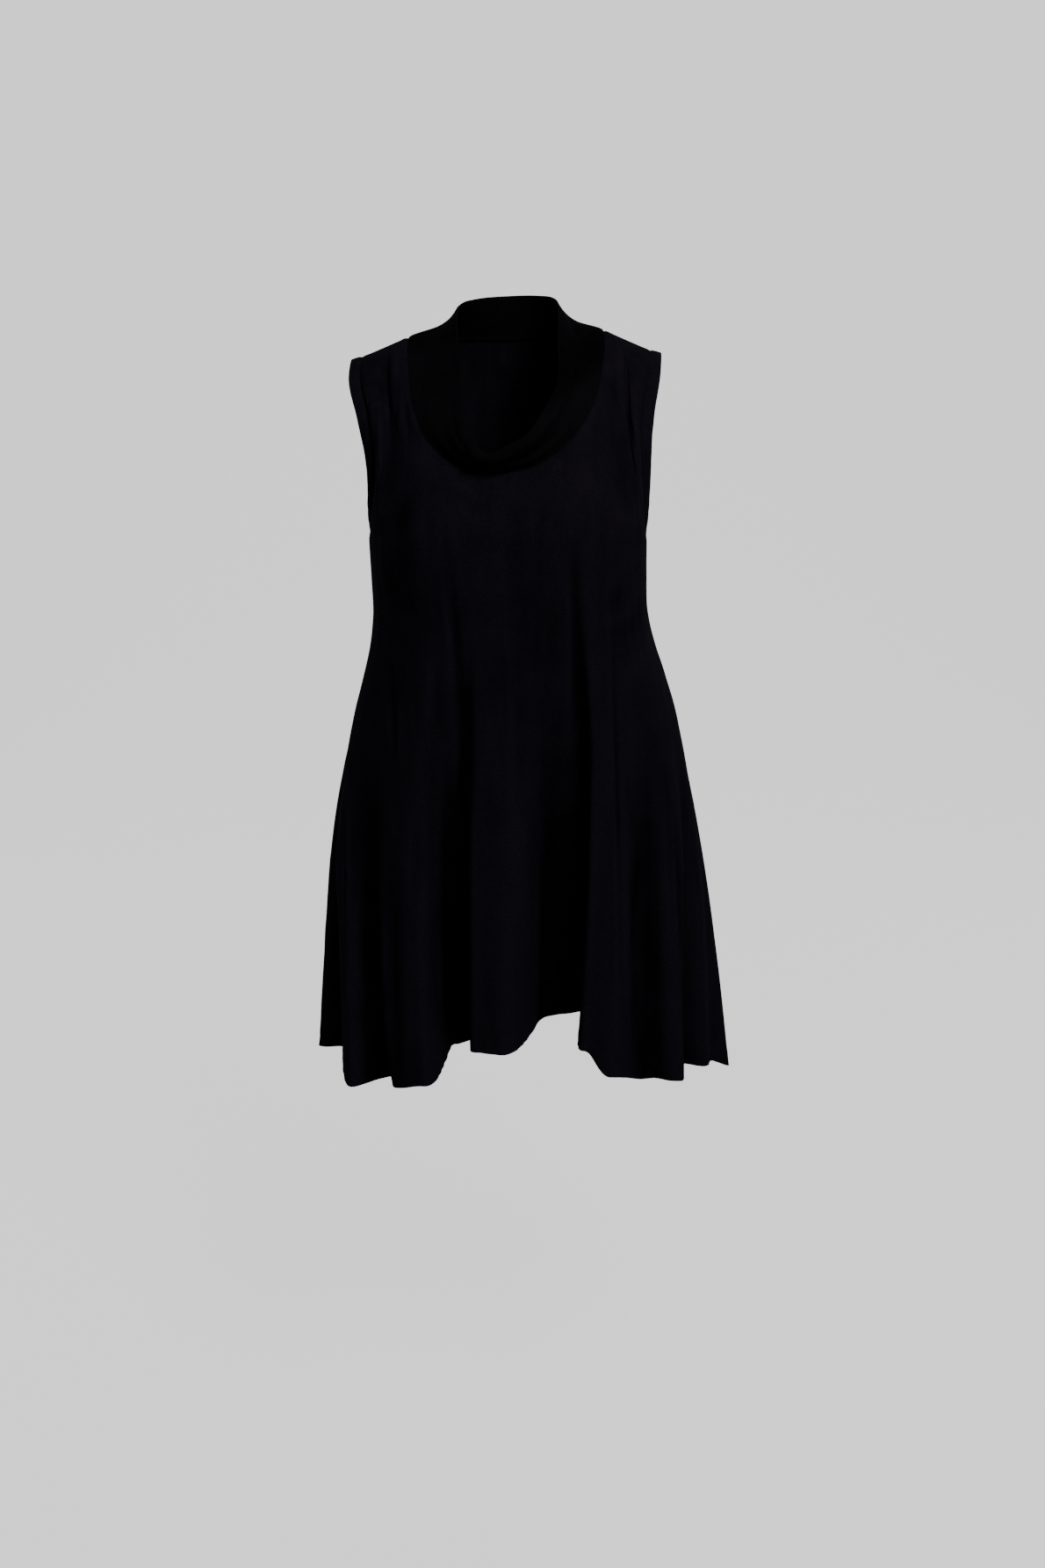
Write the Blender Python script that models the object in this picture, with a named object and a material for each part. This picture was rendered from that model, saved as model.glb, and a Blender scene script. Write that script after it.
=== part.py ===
"""Sleeveless swing dress with a soft cowl collar, in the shape that it holds when it is worn.

Metres, +Z up. The front of the dress faces -Y and the viewer's right is +X. The origin lies
midway between the wearer's shoulders, at the height where the shoulders carry the dress.
Sizes below are in millimetres, and MM turns them to metres as each mesh is made.

The dress is four cut shapes: one front, one back, a doubled collar band and two narrow armhole
bands. Each is a wall of cloth made from a grid of points. A column of the front or back runs from
the hem up to the panel's top edge; a row runs across from one side seam to the other.
"""

import bmesh
import bpy
import numpy as np

MM = 0.001

# Cloth
JERSEY_WALL = 1.5  # one layer of knit, with the body that its folds give it
COLLAR_WALL = 2.6  # the collar band is folded double
BAND_WALL = 2.2  # the armhole band is folded round the edge
SEAM_GAP = 0.3  # cut pieces stay this far apart at their seams
ARMHOLE_BAND_WIDTH = 12.0

# Body of the dress: half widths to the viewer's left and right, and depths to front and back
BODY_COLUMNS = ("z", "left", "right", "front", "back")
BODY = np.array([
    (10.0, 172.0, 168.0, 54.0, 100.0),
    (-50.0, 169.0, 164.0, 74.0, 112.0),
    (-100.0, 167.0, 161.0, 99.0, 118.0),
    (-140.0, 168.0, 161.0, 118.0, 120.0),
    (-180.0, 170.0, 163.0, 130.0, 118.0),
    (-230.0, 171.0, 161.0, 135.0, 116.0),
    (-280.0, 170.0, 160.0, 135.0, 110.0),
    (-320.0, 170.0, 161.0, 133.0, 103.0),
    (-360.0, 176.0, 169.0, 133.0, 100.0),
    (-400.0, 187.0, 182.0, 136.0, 105.0),
    (-450.0, 202.0, 196.0, 140.0, 116.0),
    (-520.0, 219.0, 210.0, 146.0, 134.0),
    (-600.0, 235.0, 225.0, 152.0, 151.0),
    (-700.0, 246.0, 240.0, 159.0, 169.0),
    (-800.0, 255.0, 252.0, 165.0, 184.0),
    (-920.0, 265.0, 264.0, 170.0, 199.0),
])
SQUARENESS = 0.045  # how far the section stands out of an ellipse between its axes

# Bust of a general figure under the cloth: the cloth stands out over it and hangs from it
BUST_OUT = 36.0
BUST_X = 98.0
BUST_Z = -236.0
BUST_SPREAD_X = 60.0
BUST_SPREAD_UP = 72.0
BUST_SPREAD_DOWN = 165.0

# Folds of the skirt, a row for each crest, trough or folded edge, in order round the dress. It lies
# at top_angle where the folds begin and at hem_angle at the hem. There it stands out by out and has
# moved by along, to the viewer's right at the front. It begins at height top, and the hem's own
# height is hem_z. An angle is 0 at centre front, 90 at the right side and 180 at the back
FOLD_COLUMNS = ("top_angle", "hem_angle", "out", "along", "top", "hem_z")
FOLDS = np.array([
    (-100.0, -93.0, 4.0, 6.0, -430.0, -877.0),  # left side seam
    (-90.0, -82.8, -30.0, 25.0, -430.0, -863.0),  # hollow behind the left side
    (-80.0, -68.4, -9.0, 73.0, -430.0, -880.0),  # leftmost fold's edge
    (-50.0, -60.3, -39.0, 68.0, -480.0, -872.0),  # narrow hollow at the left
    (-43.0, -52.8, -1.0, 84.0, -430.0, -868.0),  # left fold's edge
    (-33.0, -45.7, 5.0, 97.0, -400.0, -858.0),  # left fold's crest
    (-22.0, -32.9, -53.0, 48.0, -330.0, -834.0),  # left deep hollow
    (-18.0, -28.1, -65.0, 55.0, -330.0, -830.0),  # left deep hollow's far side
    (-13.0, -14.0, 24.0, 11.0, -330.0, -815.0),  # centre fold's edge
    (-2.0, -8.3, 39.0, 15.0, -340.0, -812.0),  # centre fold's crest
    (16.0, 8.2, -42.0, -3.0, -310.0, -798.0),  # centre deep hollow
    (25.0, 17.2, -61.0, 11.0, -300.0, -800.0),  # centre deep hollow's far side
    (31.0, 32.4, 17.0, -81.0, -300.0, -816.0),  # right fold's edge
    (40.0, 37.8, 33.0, -88.0, -310.0, -842.0),  # right fold's crest
    (53.0, 50.4, -8.0, -69.0, -380.0, -869.0),  # shallow hollow at the right
    (64.0, 56.8, 9.0, -67.0, -440.0, -871.0),  # rightmost fold's crest
    (73.0, 67.5, -39.0, -44.0, -460.0, -876.0),  # narrow hollow at the right
    (77.0, 73.0, -15.0, -45.0, -560.0, -880.0),  # thin fold at the right
    (82.0, 81.3, -21.0, -18.0, -560.0, -893.0),  # hollow before the right side
    (94.0, 90.0, 2.0, 2.0, -430.0, -917.0),  # right side seam
    (108.0, 99.8, -34.0, 12.0, -440.0, -904.0),  # hollow behind the right side
    (121.0, 113.7, 20.0, 28.0, -420.0, -908.0),
    (137.0, 128.8, -45.0, 20.0, -380.0, -890.0),
    (151.0, 145.3, 25.0, 29.0, -360.0, -893.0),
    (166.0, 160.9, -42.0, 13.0, -350.0, -880.0),
    (180.0, 177.5, 30.0, 3.0, -350.0, -886.0),  # centre back
    (195.0, 196.2, -42.0, -1.0, -350.0, -880.0),
    (210.0, 211.8, 26.0, -14.0, -360.0, -892.0),
    (225.0, 228.6, -46.0, -12.0, -380.0, -884.0),
    (240.0, 243.8, 21.0, -18.0, -420.0, -893.0),
    (253.0, 257.6, -32.0, -4.0, -440.0, -872.0),
])
FOLDS_BEGIN = -300.0
FOLDS_END = -790.0
FOLD_ONSET = 1.15  # over 1, so that a fold starts softly

# Seam of each armhole: a loop from the underarm, up the front to the shoulder tip and down the back.
# The way is the cloth's own direction across the seam, for the right armhole
ARMHOLE_COLUMNS = ("share", "left_x", "right_x", "y", "z", "way_x", "way_y", "way_z")
ARMHOLE = np.array([
    (0.00, 170.0, 160.5, 0.0, -228.0, 0.00, 0.00, 1.00),  # underarm
    (0.22, 165.0, 156.5, -40.0, -210.0, 0.35, 0.55, 0.75),
    (0.48, 156.0, 152.0, -68.0, -152.0, 0.80, 0.55, 0.25),
    (0.74, 163.0, 155.0, -58.0, -90.0, 0.92, 0.38, 0.10),
    (0.90, 173.0, 164.0, -28.0, -44.0, 0.98, 0.12, -0.10),
    (1.00, 172.0, 168.0, 6.0, -19.0, 0.97, 0.00, -0.24),  # shoulder tip
    (1.10, 171.0, 165.0, 34.0, -40.0, 0.98, -0.12, -0.10),
    (1.27, 163.0, 160.0, 56.0, -88.0, 0.92, -0.38, 0.10),
    (1.53, 157.5, 154.0, 60.0, -150.0, 0.80, -0.55, 0.25),
    (1.79, 165.0, 158.0, 36.0, -208.0, 0.35, -0.55, 0.75),
    (2.00, 170.0, 160.5, 0.0, -228.0, 0.00, 0.00, 1.00),
])
UNDERARM_Z = -228.0
RIGHT_UNDERARM_LOWER = 16.0  # the dress sits a little askew on the wearer

# Collar: its seam on the neckline and its free folded edge, at stations round the neck.
# Turn is 0 at centre front, positive to the viewer's right and 180 at centre back
COLLAR_COLUMNS = ("turn", "seam_x", "seam_y", "seam_z", "edge_x", "edge_y", "edge_z", "up", "bow")
COLLAR = np.array([
    # up is how steeply the band reaches its edge, and bow how far it stands out of a smooth curve
    (-180.0, 0.0, 84.0, 3.0, 0.0, 66.0, 50.0, 1.2, 0.0),
    (-150.0, -58.0, 76.0, 4.0, -36.0, 56.0, 47.0, 1.2, 0.0),
    (-120.0, -100.0, 46.0, 4.0, -56.0, 24.0, 38.0, 1.0, -1.0),
    (-95.0, -117.0, 8.0, 1.0, -60.0, -16.0, 22.0, 0.8, -2.0),
    (-75.0, -115.5, -40.0, -33.0, -58.0, -56.0, -16.0, 0.6, 0.0),
    (-55.0, -109.0, -80.0, -82.0, -53.0, -100.0, -72.0, 0.5, 4.0),
    (-38.0, -91.0, -106.0, -123.0, -50.0, -129.0, -106.0, 0.5, 7.0),
    (-24.0, -60.0, -121.0, -148.0, -38.0, -145.0, -127.0, 0.5, 8.0),
    (-12.0, -30.0, -127.0, -157.0, -22.0, -149.0, -136.0, 0.5, 8.0),
    (0.0, 0.0, -128.0, -156.0, 0.0, -149.0, -127.0, 0.5, 8.0),
    (12.0, 28.0, -127.0, -150.0, 20.0, -146.0, -116.0, 0.5, 8.0),
    (24.0, 54.0, -120.0, -135.0, 33.0, -138.0, -99.0, 0.5, 7.0),
    (38.0, 80.0, -106.0, -109.0, 46.0, -122.0, -80.0, 0.5, 6.0),
    (55.0, 99.0, -80.0, -75.0, 57.0, -98.0, -58.0, 0.5, 4.0),
    (75.0, 110.0, -40.0, -31.0, 59.0, -56.0, -16.0, 0.6, 0.0),
    (95.0, 113.0, 8.0, 4.0, 61.0, -12.0, 24.0, 0.8, -2.0),
    (120.0, 100.0, 46.0, 6.0, 58.0, 26.0, 42.0, 1.0, -1.0),
    (150.0, 58.0, 76.0, 5.0, 36.0, 56.0, 49.0, 1.2, 0.0),
    (180.0, 0.0, 84.0, 3.0, 0.0, 66.0, 50.0, 1.2, 0.0),
])
SHOULDER_POINT_TURN = 95.0  # where the shoulder seam meets the neckline
COLLAR_RIPPLE = 4.5  # depth of the creases that run round the front of the collar
COLLAR_RIPPLE_TURN = 70.0  # they die out this far round from centre front
COLLAR_RIPPLES = 1.5

# Grid of a panel. Columns run up from the hem to the neckline or a shoulder. Rows run across: from
# side seam to side seam up to the underarm, and from armhole to armhole above it
NECK_COLS = 28
SHOULDER_COLS = 11
SKIRT_ROWS = 12
BODICE_ROWS = 10
COLLAR_ROWS = 9
BAND_ROWS = 2
NECK_ANGLE = 52.0  # the column of the shoulder's inner point crosses the underarm row here
NECK_SWING = 11.0  # the columns swing out by this angle, to meet the neckline's sides from beside it
ARMHOLE_REACH = 0.35  # the armhole's own curve shapes the cloth out to this share of the half width
PROBE = 1e-3  # step of a share, for finding a surface's slope


def spline(keys, values, at, period=None):
    """A smooth curve through the rows of values at the keys; period closes it on itself."""
    keys = np.asarray(keys, float)
    values = np.asarray(values, float).reshape(len(keys), -1)
    at = np.asarray(at, float)
    if period is None:
        slopes = np.gradient(values, keys, axis=0)
    else:
        at = (at - keys[0]) % period + keys[0]
        span = keys[-1] - keys[-2], keys[1] - keys[0]
        slopes = np.gradient(values, keys, axis=0)
        slopes[0] = slopes[-1] = (values[1] - values[-2]) / (span[0] + span[1])
    place = np.clip(np.searchsorted(keys, at, side="right") - 1, 0, len(keys) - 2)
    width = (keys[place + 1] - keys[place])[..., None]
    share = (at - keys[place])[..., None] / width
    return hermite(
        values[place], values[place + 1], slopes[place] * width, slopes[place + 1] * width, share
    )


def hermite(start, end, start_slope, end_slope, share):
    """The cubic that leaves start and reaches end with those slopes."""
    square, cube = share**2, share**3
    return (
        (2 * cube - 3 * square + 1) * start
        + (cube - 2 * square + share) * start_slope
        + (3 * square - 2 * cube) * end
        + (cube - square) * end_slope
    )


def column_of(table, names, wanted):
    """One named column of a table."""
    return table[:, names.index(wanted)]


def body_sizes(z):
    """Left, right, front and back of the section at each height."""
    down = -column_of(BODY, BODY_COLUMNS, "z")
    return np.moveaxis(spline(down, BODY[:, 1:], -np.asarray(z, float)), -1, 0)


def fold_values(angle, z):
    """The out, along, top and hem_z of the folds for a column of that angle at that height."""
    angle, z = np.broadcast_arrays(np.asarray(angle, float), np.asarray(z, float))
    down = np.clip((FOLDS_BEGIN - z) / (FOLDS_BEGIN - FOLDS_END), 0, 1)[..., None]
    places = FOLDS[:, 0] + (FOLDS[:, 1] - FOLDS[:, 0]) * down
    places = np.concatenate([places, places[..., :1] + 360.0], axis=-1)
    values = np.concatenate([FOLDS[:, 2:], FOLDS[:1, 2:]])
    at = (angle - places[..., 0]) % 360.0 + places[..., 0]
    row = np.clip((places <= at[..., None]).sum(axis=-1) - 1, 0, len(FOLDS) - 1)
    start = np.take_along_axis(places, row[..., None], axis=-1)[..., 0]
    end = np.take_along_axis(places, row[..., None] + 1, axis=-1)[..., 0]
    share = ((at - start) / (end - start))[..., None]
    eased = share**2 * (3 - 2 * share)
    return np.moveaxis(values[row] * (1 - eased) + values[row + 1] * eased, -1, 0)


def hem_height(angle):
    """Height of the hem at each angle round the dress."""
    return fold_values(angle, FOLDS_END)[3]


def turned(angle):
    """The same angle between -180 and 180."""
    return (angle + 180.0) % 360.0 - 180.0


def unit(vectors):
    """The vectors at length 1."""
    return vectors / np.linalg.norm(vectors, axis=-1, keepdims=True)


def ring_point(angle, z):
    """The body's section at that height and angle, before bust and folds."""
    left, right, front, back = body_sizes(z)
    turn = np.radians(angle)
    across, forward = np.sin(turn), np.cos(turn)
    swell = 1 + SQUARENESS * np.sin(2 * turn) ** 2
    x = np.where(across < 0, left, right) * across * swell
    y = -np.where(forward > 0, front, back) * forward * swell
    return np.stack([x, y, z + 0 * x], axis=-1)


def bust(points):
    """How far the cloth stands forward over the bust at each point of the front."""
    x, y, z = np.moveaxis(points, -1, 0)
    spread = np.where(z > BUST_Z, BUST_SPREAD_UP, BUST_SPREAD_DOWN)
    high = np.exp(-0.5 * ((z - BUST_Z) / spread) ** 2)
    sides = [np.exp(-0.5 * ((x - side * BUST_X) / BUST_SPREAD_X) ** 2) for side in (-1, 1)]
    return BUST_OUT * high * (sides[0] + sides[1]) * np.clip(-y / 60.0, 0, 1)


def folds(angle, z):
    """How far out, and how far along the ring, the folds carry the cloth."""
    out, along, top, hem = fold_values(angle, z)
    grown = np.clip((top - z) / (top - hem), 0, 1) ** FOLD_ONSET
    return out * grown, along * grown


def skirt_point(angle, z):
    """A point of the cloth below the bust line."""
    angle = np.asarray(angle, float)
    point = ring_point(angle, z)
    ahead = unit(ring_point(angle + 0.5, z) - ring_point(angle - 0.5, z))
    outward = np.stack([-ahead[..., 1], ahead[..., 0], 0 * ahead[..., 0]], axis=-1) * -1
    out, along = folds(angle, z)
    return point + outward * out[..., None] + ahead * along[..., None]


def across_seam(along, way):
    """The direction in the cloth square across a seam, from the seam's direction and the cloth's."""
    along = unit(along)
    return unit(way - along * (way * along).sum(axis=-1, keepdims=True))


def armhole_seam(share, side):
    """One armhole's seam: its points, and the directions across it and out of the cloth."""
    share = np.asarray(share, float)

    def point(at):
        place = spline(ARMHOLE[:, 0], ARMHOLE[:, 1:5], at, period=2.0)
        left_x, right_x, y, z = np.moveaxis(place, -1, 0)
        low = np.abs(1 - at % 2.0) ** 2
        z = z - (side > 0) * RIGHT_UNDERARM_LOWER * low
        return np.stack([side * np.where(side > 0, right_x, left_x), y, z], axis=-1)

    way = spline(ARMHOLE[:, 0], ARMHOLE[:, 5:], share, period=2.0) * (side, 1, 1)
    along = point(share + PROBE) - point(share - PROBE)
    across = across_seam(along, way)
    return point(share), across, -side * unit(np.cross(along, across))


def neckline_seam(turn):
    """The neckline's seam: its points, and the directions across it and out of the cloth."""
    turn = np.asarray(turn, float)

    def point(at):
        return spline(COLLAR[:, 0], COLLAR[:, 1:4], at, period=360.0)

    round_neck = np.radians(turn)
    side, ahead = np.sin(round_neck), np.cos(round_neck)
    way = np.stack([-0.92 * side, 0.35 * ahead, 0.94 * ahead**2 + 0.30 * side**2], axis=-1)
    along = point(turn + 0.1) - point(turn - 0.1)
    across = across_seam(along, way)
    return point(turn), across, unit(np.cross(along, across))


def shoulder_seam(share, side, back):
    """The shoulder's seam from tip to neck: its points, and the directions across it and out."""
    tip = armhole_seam(np.ones(1), side)[0][0]
    neck = neckline_seam(np.array([side * SHOULDER_POINT_TURN]))[0][0]
    share = np.asarray(share, float)[:, None]
    across = unit(across_seam(neck - tip, np.array([0.0, -1.0 if back else 1.0, 0.0]))) + 0 * share
    upward = unit(across_seam(neck - tip, np.array([0.0, 0.0, 1.0]))) + 0 * share
    return tip + (neck - tip) * share, across, upward


def underarm_height(angle):
    """Height of the row that passes under both arms."""
    low, lower = UNDERARM_Z, UNDERARM_Z - RIGHT_UNDERARM_LOWER
    return (low + lower) / 2 + (lower - low) / 2 * np.sin(np.radians(angle))


def top_edge(across, back):
    """Where each column of a panel ends: the points, and the directions across the seam and out.

    Across runs from -1 at the left side to 1.
    """
    end, square, out = (np.zeros(across.shape + (3,)) for _ in range(3))
    for side in (-1.0, 1.0):
        this = np.where(across < 0, -1.0, 1.0) == side
        top = this & (np.abs(across) * 90.0 > NECK_ANGLE)
        share = (90.0 - np.abs(across[top]) * 90.0) / (90.0 - NECK_ANGLE)
        end[top], square[top], out[top] = shoulder_seam(share, side, back)
    neck = np.abs(across) * 90.0 <= NECK_ANGLE
    turn = across[neck] * 90.0 / NECK_ANGLE * SHOULDER_POINT_TURN
    if back:
        turn = 180.0 - turn / SHOULDER_POINT_TURN * (180.0 - SHOULDER_POINT_TURN)
    end[neck], square[neck], out[neck] = neckline_seam(turn)
    return end, square, out


def section_turn(x, z):
    """The angle at which the front of the body's section reaches x."""
    left, right, _, _ = body_sizes(z)
    share = x / np.where(x < 0, left, right)
    turn = np.arcsin(np.clip(share, -1, 1))
    for _ in range(4):
        turn = np.arcsin(np.clip(share / (1 + SQUARENESS * np.sin(2 * turn) ** 2), -1, 1))
    return np.degrees(turn)


def body_surface(turn, z, back):
    """The front or back of the figure, over the bust at the front."""
    point = ring_point(180.0 - turn if back else turn, z)
    if not back:
        point[..., 1] -= bust(point)
    return point


def neck_swing(turn, up):
    """How far the columns of the front swing out, most of all at the shoulder's inner point."""
    inside = np.abs(turn) / NECK_ANGLE
    beyond = (np.abs(turn) - NECK_ANGLE) / (90.0 - NECK_ANGLE)
    strength = np.sin(np.pi / 2 * np.where(beyond > 0, 1 + beyond, inside)) ** 2
    return np.sign(turn) * NECK_SWING * strength * 6.75 * up**2 * (1 - up)


def bodice_column(across, up, back):
    """A point of a plain column: up the figure from the underarm row, then over to the top edge."""
    end = top_edge(across, back)[0]
    turn = across * 90.0
    start = underarm_height(180.0 - turn if back else turn)
    end_turn = section_turn(end[..., 0], end[..., 2])
    risen = np.sin(np.pi / 2 * up)
    eased = up * (2 - up)
    z = start + (end[..., 2] - start) * risen
    swing = 0 if back else neck_swing(turn, up)
    point = body_surface(turn + (end_turn - turn) * eased + swing, z, back)
    last = body_surface(end_turn, end[..., 2], back)
    rounded = np.clip(np.abs(turn) / NECK_ANGLE, 0, 1) ** 2
    over = rounded * (1 - np.cos(np.pi / 2 * up)) + (1 - rounded) * risen**3
    point[..., 0] += (end - last)[..., 0] * eased
    point[..., 1] += (end - last)[..., 1] * over
    return point


def panel_point(across, up, back):
    """A point of the front or back. Up is -1 at the hem, 0 at the underarm and 1 at the top edge."""
    across, up = np.broadcast_arrays(np.asarray(across, float), np.asarray(up, float))
    angle = 180.0 - across * 90.0 if back else across * 90.0
    start, hem = underarm_height(angle), hem_height(angle)
    lower = skirt_point(angle, start + (hem - start) * np.maximum(-up, 0))
    risen = np.maximum(up, 0)
    upper = bodice_column(across, risen, back)
    beside = np.clip((np.abs(across) - ARMHOLE_REACH) / (1 - ARMHOLE_REACH), 0, None)
    beside = beside**2 * (3 - 2 * np.minimum(beside, 1))
    for side in (-1.0, 1.0):
        edge = armhole_seam(2.0 - risen if back else risen, side)[0]
        pull = edge - bodice_column(side + 0 * across, risen, back)
        upper = upper + pull * (beside * (across * side > 0))[..., None]
    if not back:
        lower[..., 1] -= bust(lower)
    return np.where((up > 0)[..., None], upper, lower)


def outward_normals(across, up, back):
    """Directions out of the cloth, from the slopes of the panel along its rows and columns."""
    across, up = np.broadcast_arrays(np.asarray(across, float), np.asarray(up, float))
    low, high = np.maximum(up - PROBE, -1), np.minimum(up + PROBE, 1)
    along = panel_point(across + PROBE, up, back) - panel_point(across - PROBE, up, back)
    rise = panel_point(across, high, back) - panel_point(across, low, back)
    return unit(np.cross(along, rise)) * (-1 if back else 1)


def panel_across():
    """The columns of a panel, from the left side to the right."""
    neck = NECK_ANGLE / 90.0
    half = np.concatenate([
        np.linspace(0, neck, NECK_COLS // 2 + 1),
        np.linspace(neck, 1, SHOULDER_COLS + 1)[1:],
    ])
    return np.concatenate([-half[:0:-1], half])


def panel_grid(back):
    """The outer and inner points of a panel, a row for each height and a column for each place across."""
    risen = np.linspace(0, 1, BODICE_ROWS + 1)
    up = np.concatenate([np.linspace(-1, 0, SKIRT_ROWS + 1), risen[1:]])
    across, up = np.meshgrid(panel_across(), up)
    outer = panel_point(across, up, back)
    normal = outward_normals(across, up, back)
    shift = np.zeros_like(outer)
    other = outward_normals(across, np.minimum(up, 0), not back)
    for column, side in ((0, -1.0), (-1, 1.0)):
        below = slice(0, SKIRT_ROWS + 1)
        normal[below, column] = unit(normal[below, column] + other[below, column])
        shift[below, column] = (0.0, 1.0 if back else -1.0, 0.0)
        _, square, out = armhole_seam(2.0 - risen if back else risen, side)
        normal[SKIRT_ROWS + 1 :, column] = out[1:]
        shift[SKIRT_ROWS:, column] -= square
    _, square, out = top_edge(across[-1], back)
    normal[-1] = out
    shift[-1] -= square
    for neck_point in (SHOULDER_COLS, -1 - SHOULDER_COLS):
        shift[-1, neck_point] += (0.0, 1.0 if back else -1.0, 0.0)
    outer = outer + shift * SEAM_GAP / 2
    return outer, outer - normal * JERSEY_WALL


def wall(name, outer, inner, closed):
    """An object of that cloth between its outer and inner points; closed joins the last column to the first."""
    rows, columns = outer.shape[:2]
    points = np.concatenate([outer.reshape(-1, 3), inner.reshape(-1, 3)]) * MM
    shell = bmesh.new()
    corner = [shell.verts.new(point) for point in points]
    inside = rows * columns
    steps = columns if closed else columns - 1

    def at(row, column, layer=0):
        return corner[layer + row * columns + column % columns]

    def face(*corners):
        shell.faces.new(corners)

    for row in range(rows - 1):
        for column in range(steps):
            a, b = at(row, column), at(row, column + 1)
            c, d = at(row + 1, column + 1), at(row + 1, column)
            split = (a.co - c.co).length < (b.co - d.co).length
            for layer, turn in ((0, 1), (inside, -1)):
                a, b = at(row, column, layer), at(row, column + 1, layer)
                c, d = at(row + 1, column + 1, layer), at(row + 1, column, layer)
                for triangle in ((a, b, c), (a, c, d)) if split else ((a, b, d), (b, c, d)):
                    face(*triangle[::turn])
    for row, turn in ((0, -1), (rows - 1, 1)):
        for column in range(steps):
            a, b = at(row, column), at(row, column + 1)
            c, d = at(row, column + 1, inside), at(row, column, inside)
            face(*(a, b, c)[::turn])
            face(*(a, c, d)[::turn])
    if not closed:
        for column, turn in ((0, 1), (columns - 1, -1)):
            for row in range(rows - 1):
                a, b = at(row, column), at(row + 1, column)
                c, d = at(row + 1, column, inside), at(row, column, inside)
                face(*(a, b, c)[::turn])
                face(*(a, c, d)[::turn])
    bmesh.ops.recalc_face_normals(shell, faces=shell.faces)
    mesh = bpy.data.meshes.new(name)
    shell.to_mesh(mesh)
    shell.free()
    mesh.shade_smooth()
    piece = bpy.data.objects.new(name, mesh)
    bpy.context.scene.collection.objects.link(piece)
    return piece


def grid_normals(points):
    """Directions out of a closed grid of rings, from its own points."""
    along = np.roll(points, -1, axis=1) - np.roll(points, 1, axis=1)
    rise = np.gradient(points, axis=0)
    return unit(np.cross(along, rise))


def collar_grid():
    """The collar band: rings from the neckline seam to the free edge."""
    front = np.linspace(-SHOULDER_POINT_TURN, SHOULDER_POINT_TURN, NECK_COLS + 1)
    rear = np.linspace(SHOULDER_POINT_TURN, 360.0 - SHOULDER_POINT_TURN, NECK_COLS + 1)
    turn = np.concatenate([front, rear[1:-1]])
    seam, way, out = neckline_seam(turn)
    edge_x, edge_y, edge_z, up, bow = spline(COLLAR[:, 0], COLLAR[:, 4:], turn, period=360.0).T
    edge = np.stack([edge_x, edge_y, edge_z], axis=-1)
    seam = seam + way * SEAM_GAP / 2
    share = np.linspace(0, 1, COLLAR_ROWS + 1)[:, None, None]
    reach = np.linalg.norm(edge - seam, axis=-1, keepdims=True)
    rising = np.array([0.0, 0.0, 1.0]) * up[:, None] * reach
    points = hermite(seam, edge, way * reach, unit((edge - seam) + rising) * reach, share)
    normal = grid_normals(points)
    fade = np.clip(1 - (turned(turn) / COLLAR_RIPPLE_TURN) ** 2, 0, 1)[None, :, None]
    wave = np.sin(2 * np.pi * COLLAR_RIPPLES * share) * share**0.5 * COLLAR_RIPPLE * fade
    points = points + normal * (wave + bow[:, None] * np.sin(np.pi * share) ** 2)
    normal = grid_normals(points)
    normal[0] = out
    return points, points - normal * COLLAR_WALL


def band_grid(side):
    """The band round one armhole: from its seam on the panels out to the open edge."""
    share = np.arange(2 * BODICE_ROWS) / BODICE_ROWS
    seam, across, out = armhole_seam(share, side)
    rows = np.linspace(SEAM_GAP / 2, ARMHOLE_BAND_WIDTH, BAND_ROWS + 1)[:, None, None]
    points = seam + across * rows
    return points, points - out * BAND_WALL


def jersey(name, colour, roughness):
    """The knit's colour and dullness."""
    material = bpy.data.materials.new(name)
    material.use_nodes = True
    shader = material.node_tree.nodes["Principled BSDF"]
    shader.inputs["Base Color"].default_value = (*colour, 1.0)
    shader.inputs["Roughness"].default_value = roughness
    shader.inputs["Metallic"].default_value = 0.0
    return material


def build():
    """The dress, one object for each cut piece."""
    for leftover in list(bpy.data.objects):
        bpy.data.objects.remove(leftover, do_unlink=True)
    body_jersey = jersey("black_jersey", (0.008, 0.008, 0.010), 0.75)
    trim_jersey = jersey("black_jersey_doubled", (0.006, 0.006, 0.008), 0.72)
    pieces = {
        "front_panel": (panel_grid(back=False), False, body_jersey),
        "back_panel": (panel_grid(back=True), False, body_jersey),
        "cowl_collar": (collar_grid(), True, trim_jersey),
        "armhole_band_left": (band_grid(side=-1.0), True, trim_jersey),
        "armhole_band_right": (band_grid(side=1.0), True, trim_jersey),
    }
    for name, ((outer, inner), closed, material) in pieces.items():
        piece = wall(name, outer, inner, closed)
        piece.data.materials.append(material)


build()
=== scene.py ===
import math

import bpy
import numpy as np
from bpy.props import FloatProperty, FloatVectorProperty, PointerProperty
from mathutils import Matrix, Vector


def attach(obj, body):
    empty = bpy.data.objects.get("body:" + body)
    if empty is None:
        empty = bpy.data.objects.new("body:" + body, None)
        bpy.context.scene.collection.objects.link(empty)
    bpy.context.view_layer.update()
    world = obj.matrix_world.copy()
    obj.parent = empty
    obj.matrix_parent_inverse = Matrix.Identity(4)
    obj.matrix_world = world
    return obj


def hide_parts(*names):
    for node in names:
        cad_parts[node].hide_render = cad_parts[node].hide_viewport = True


bl_info = {
    "name": "Jersey Swing Dress",
    "version": (1, 0, 0),
    "blender": (4, 5, 0),
    "location": "3D View > Sidebar > Swing Dress",
    "description": "Dresses the fixed model of a sleeveless swing dress in black jersey",
    "category": "Object",
}

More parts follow.
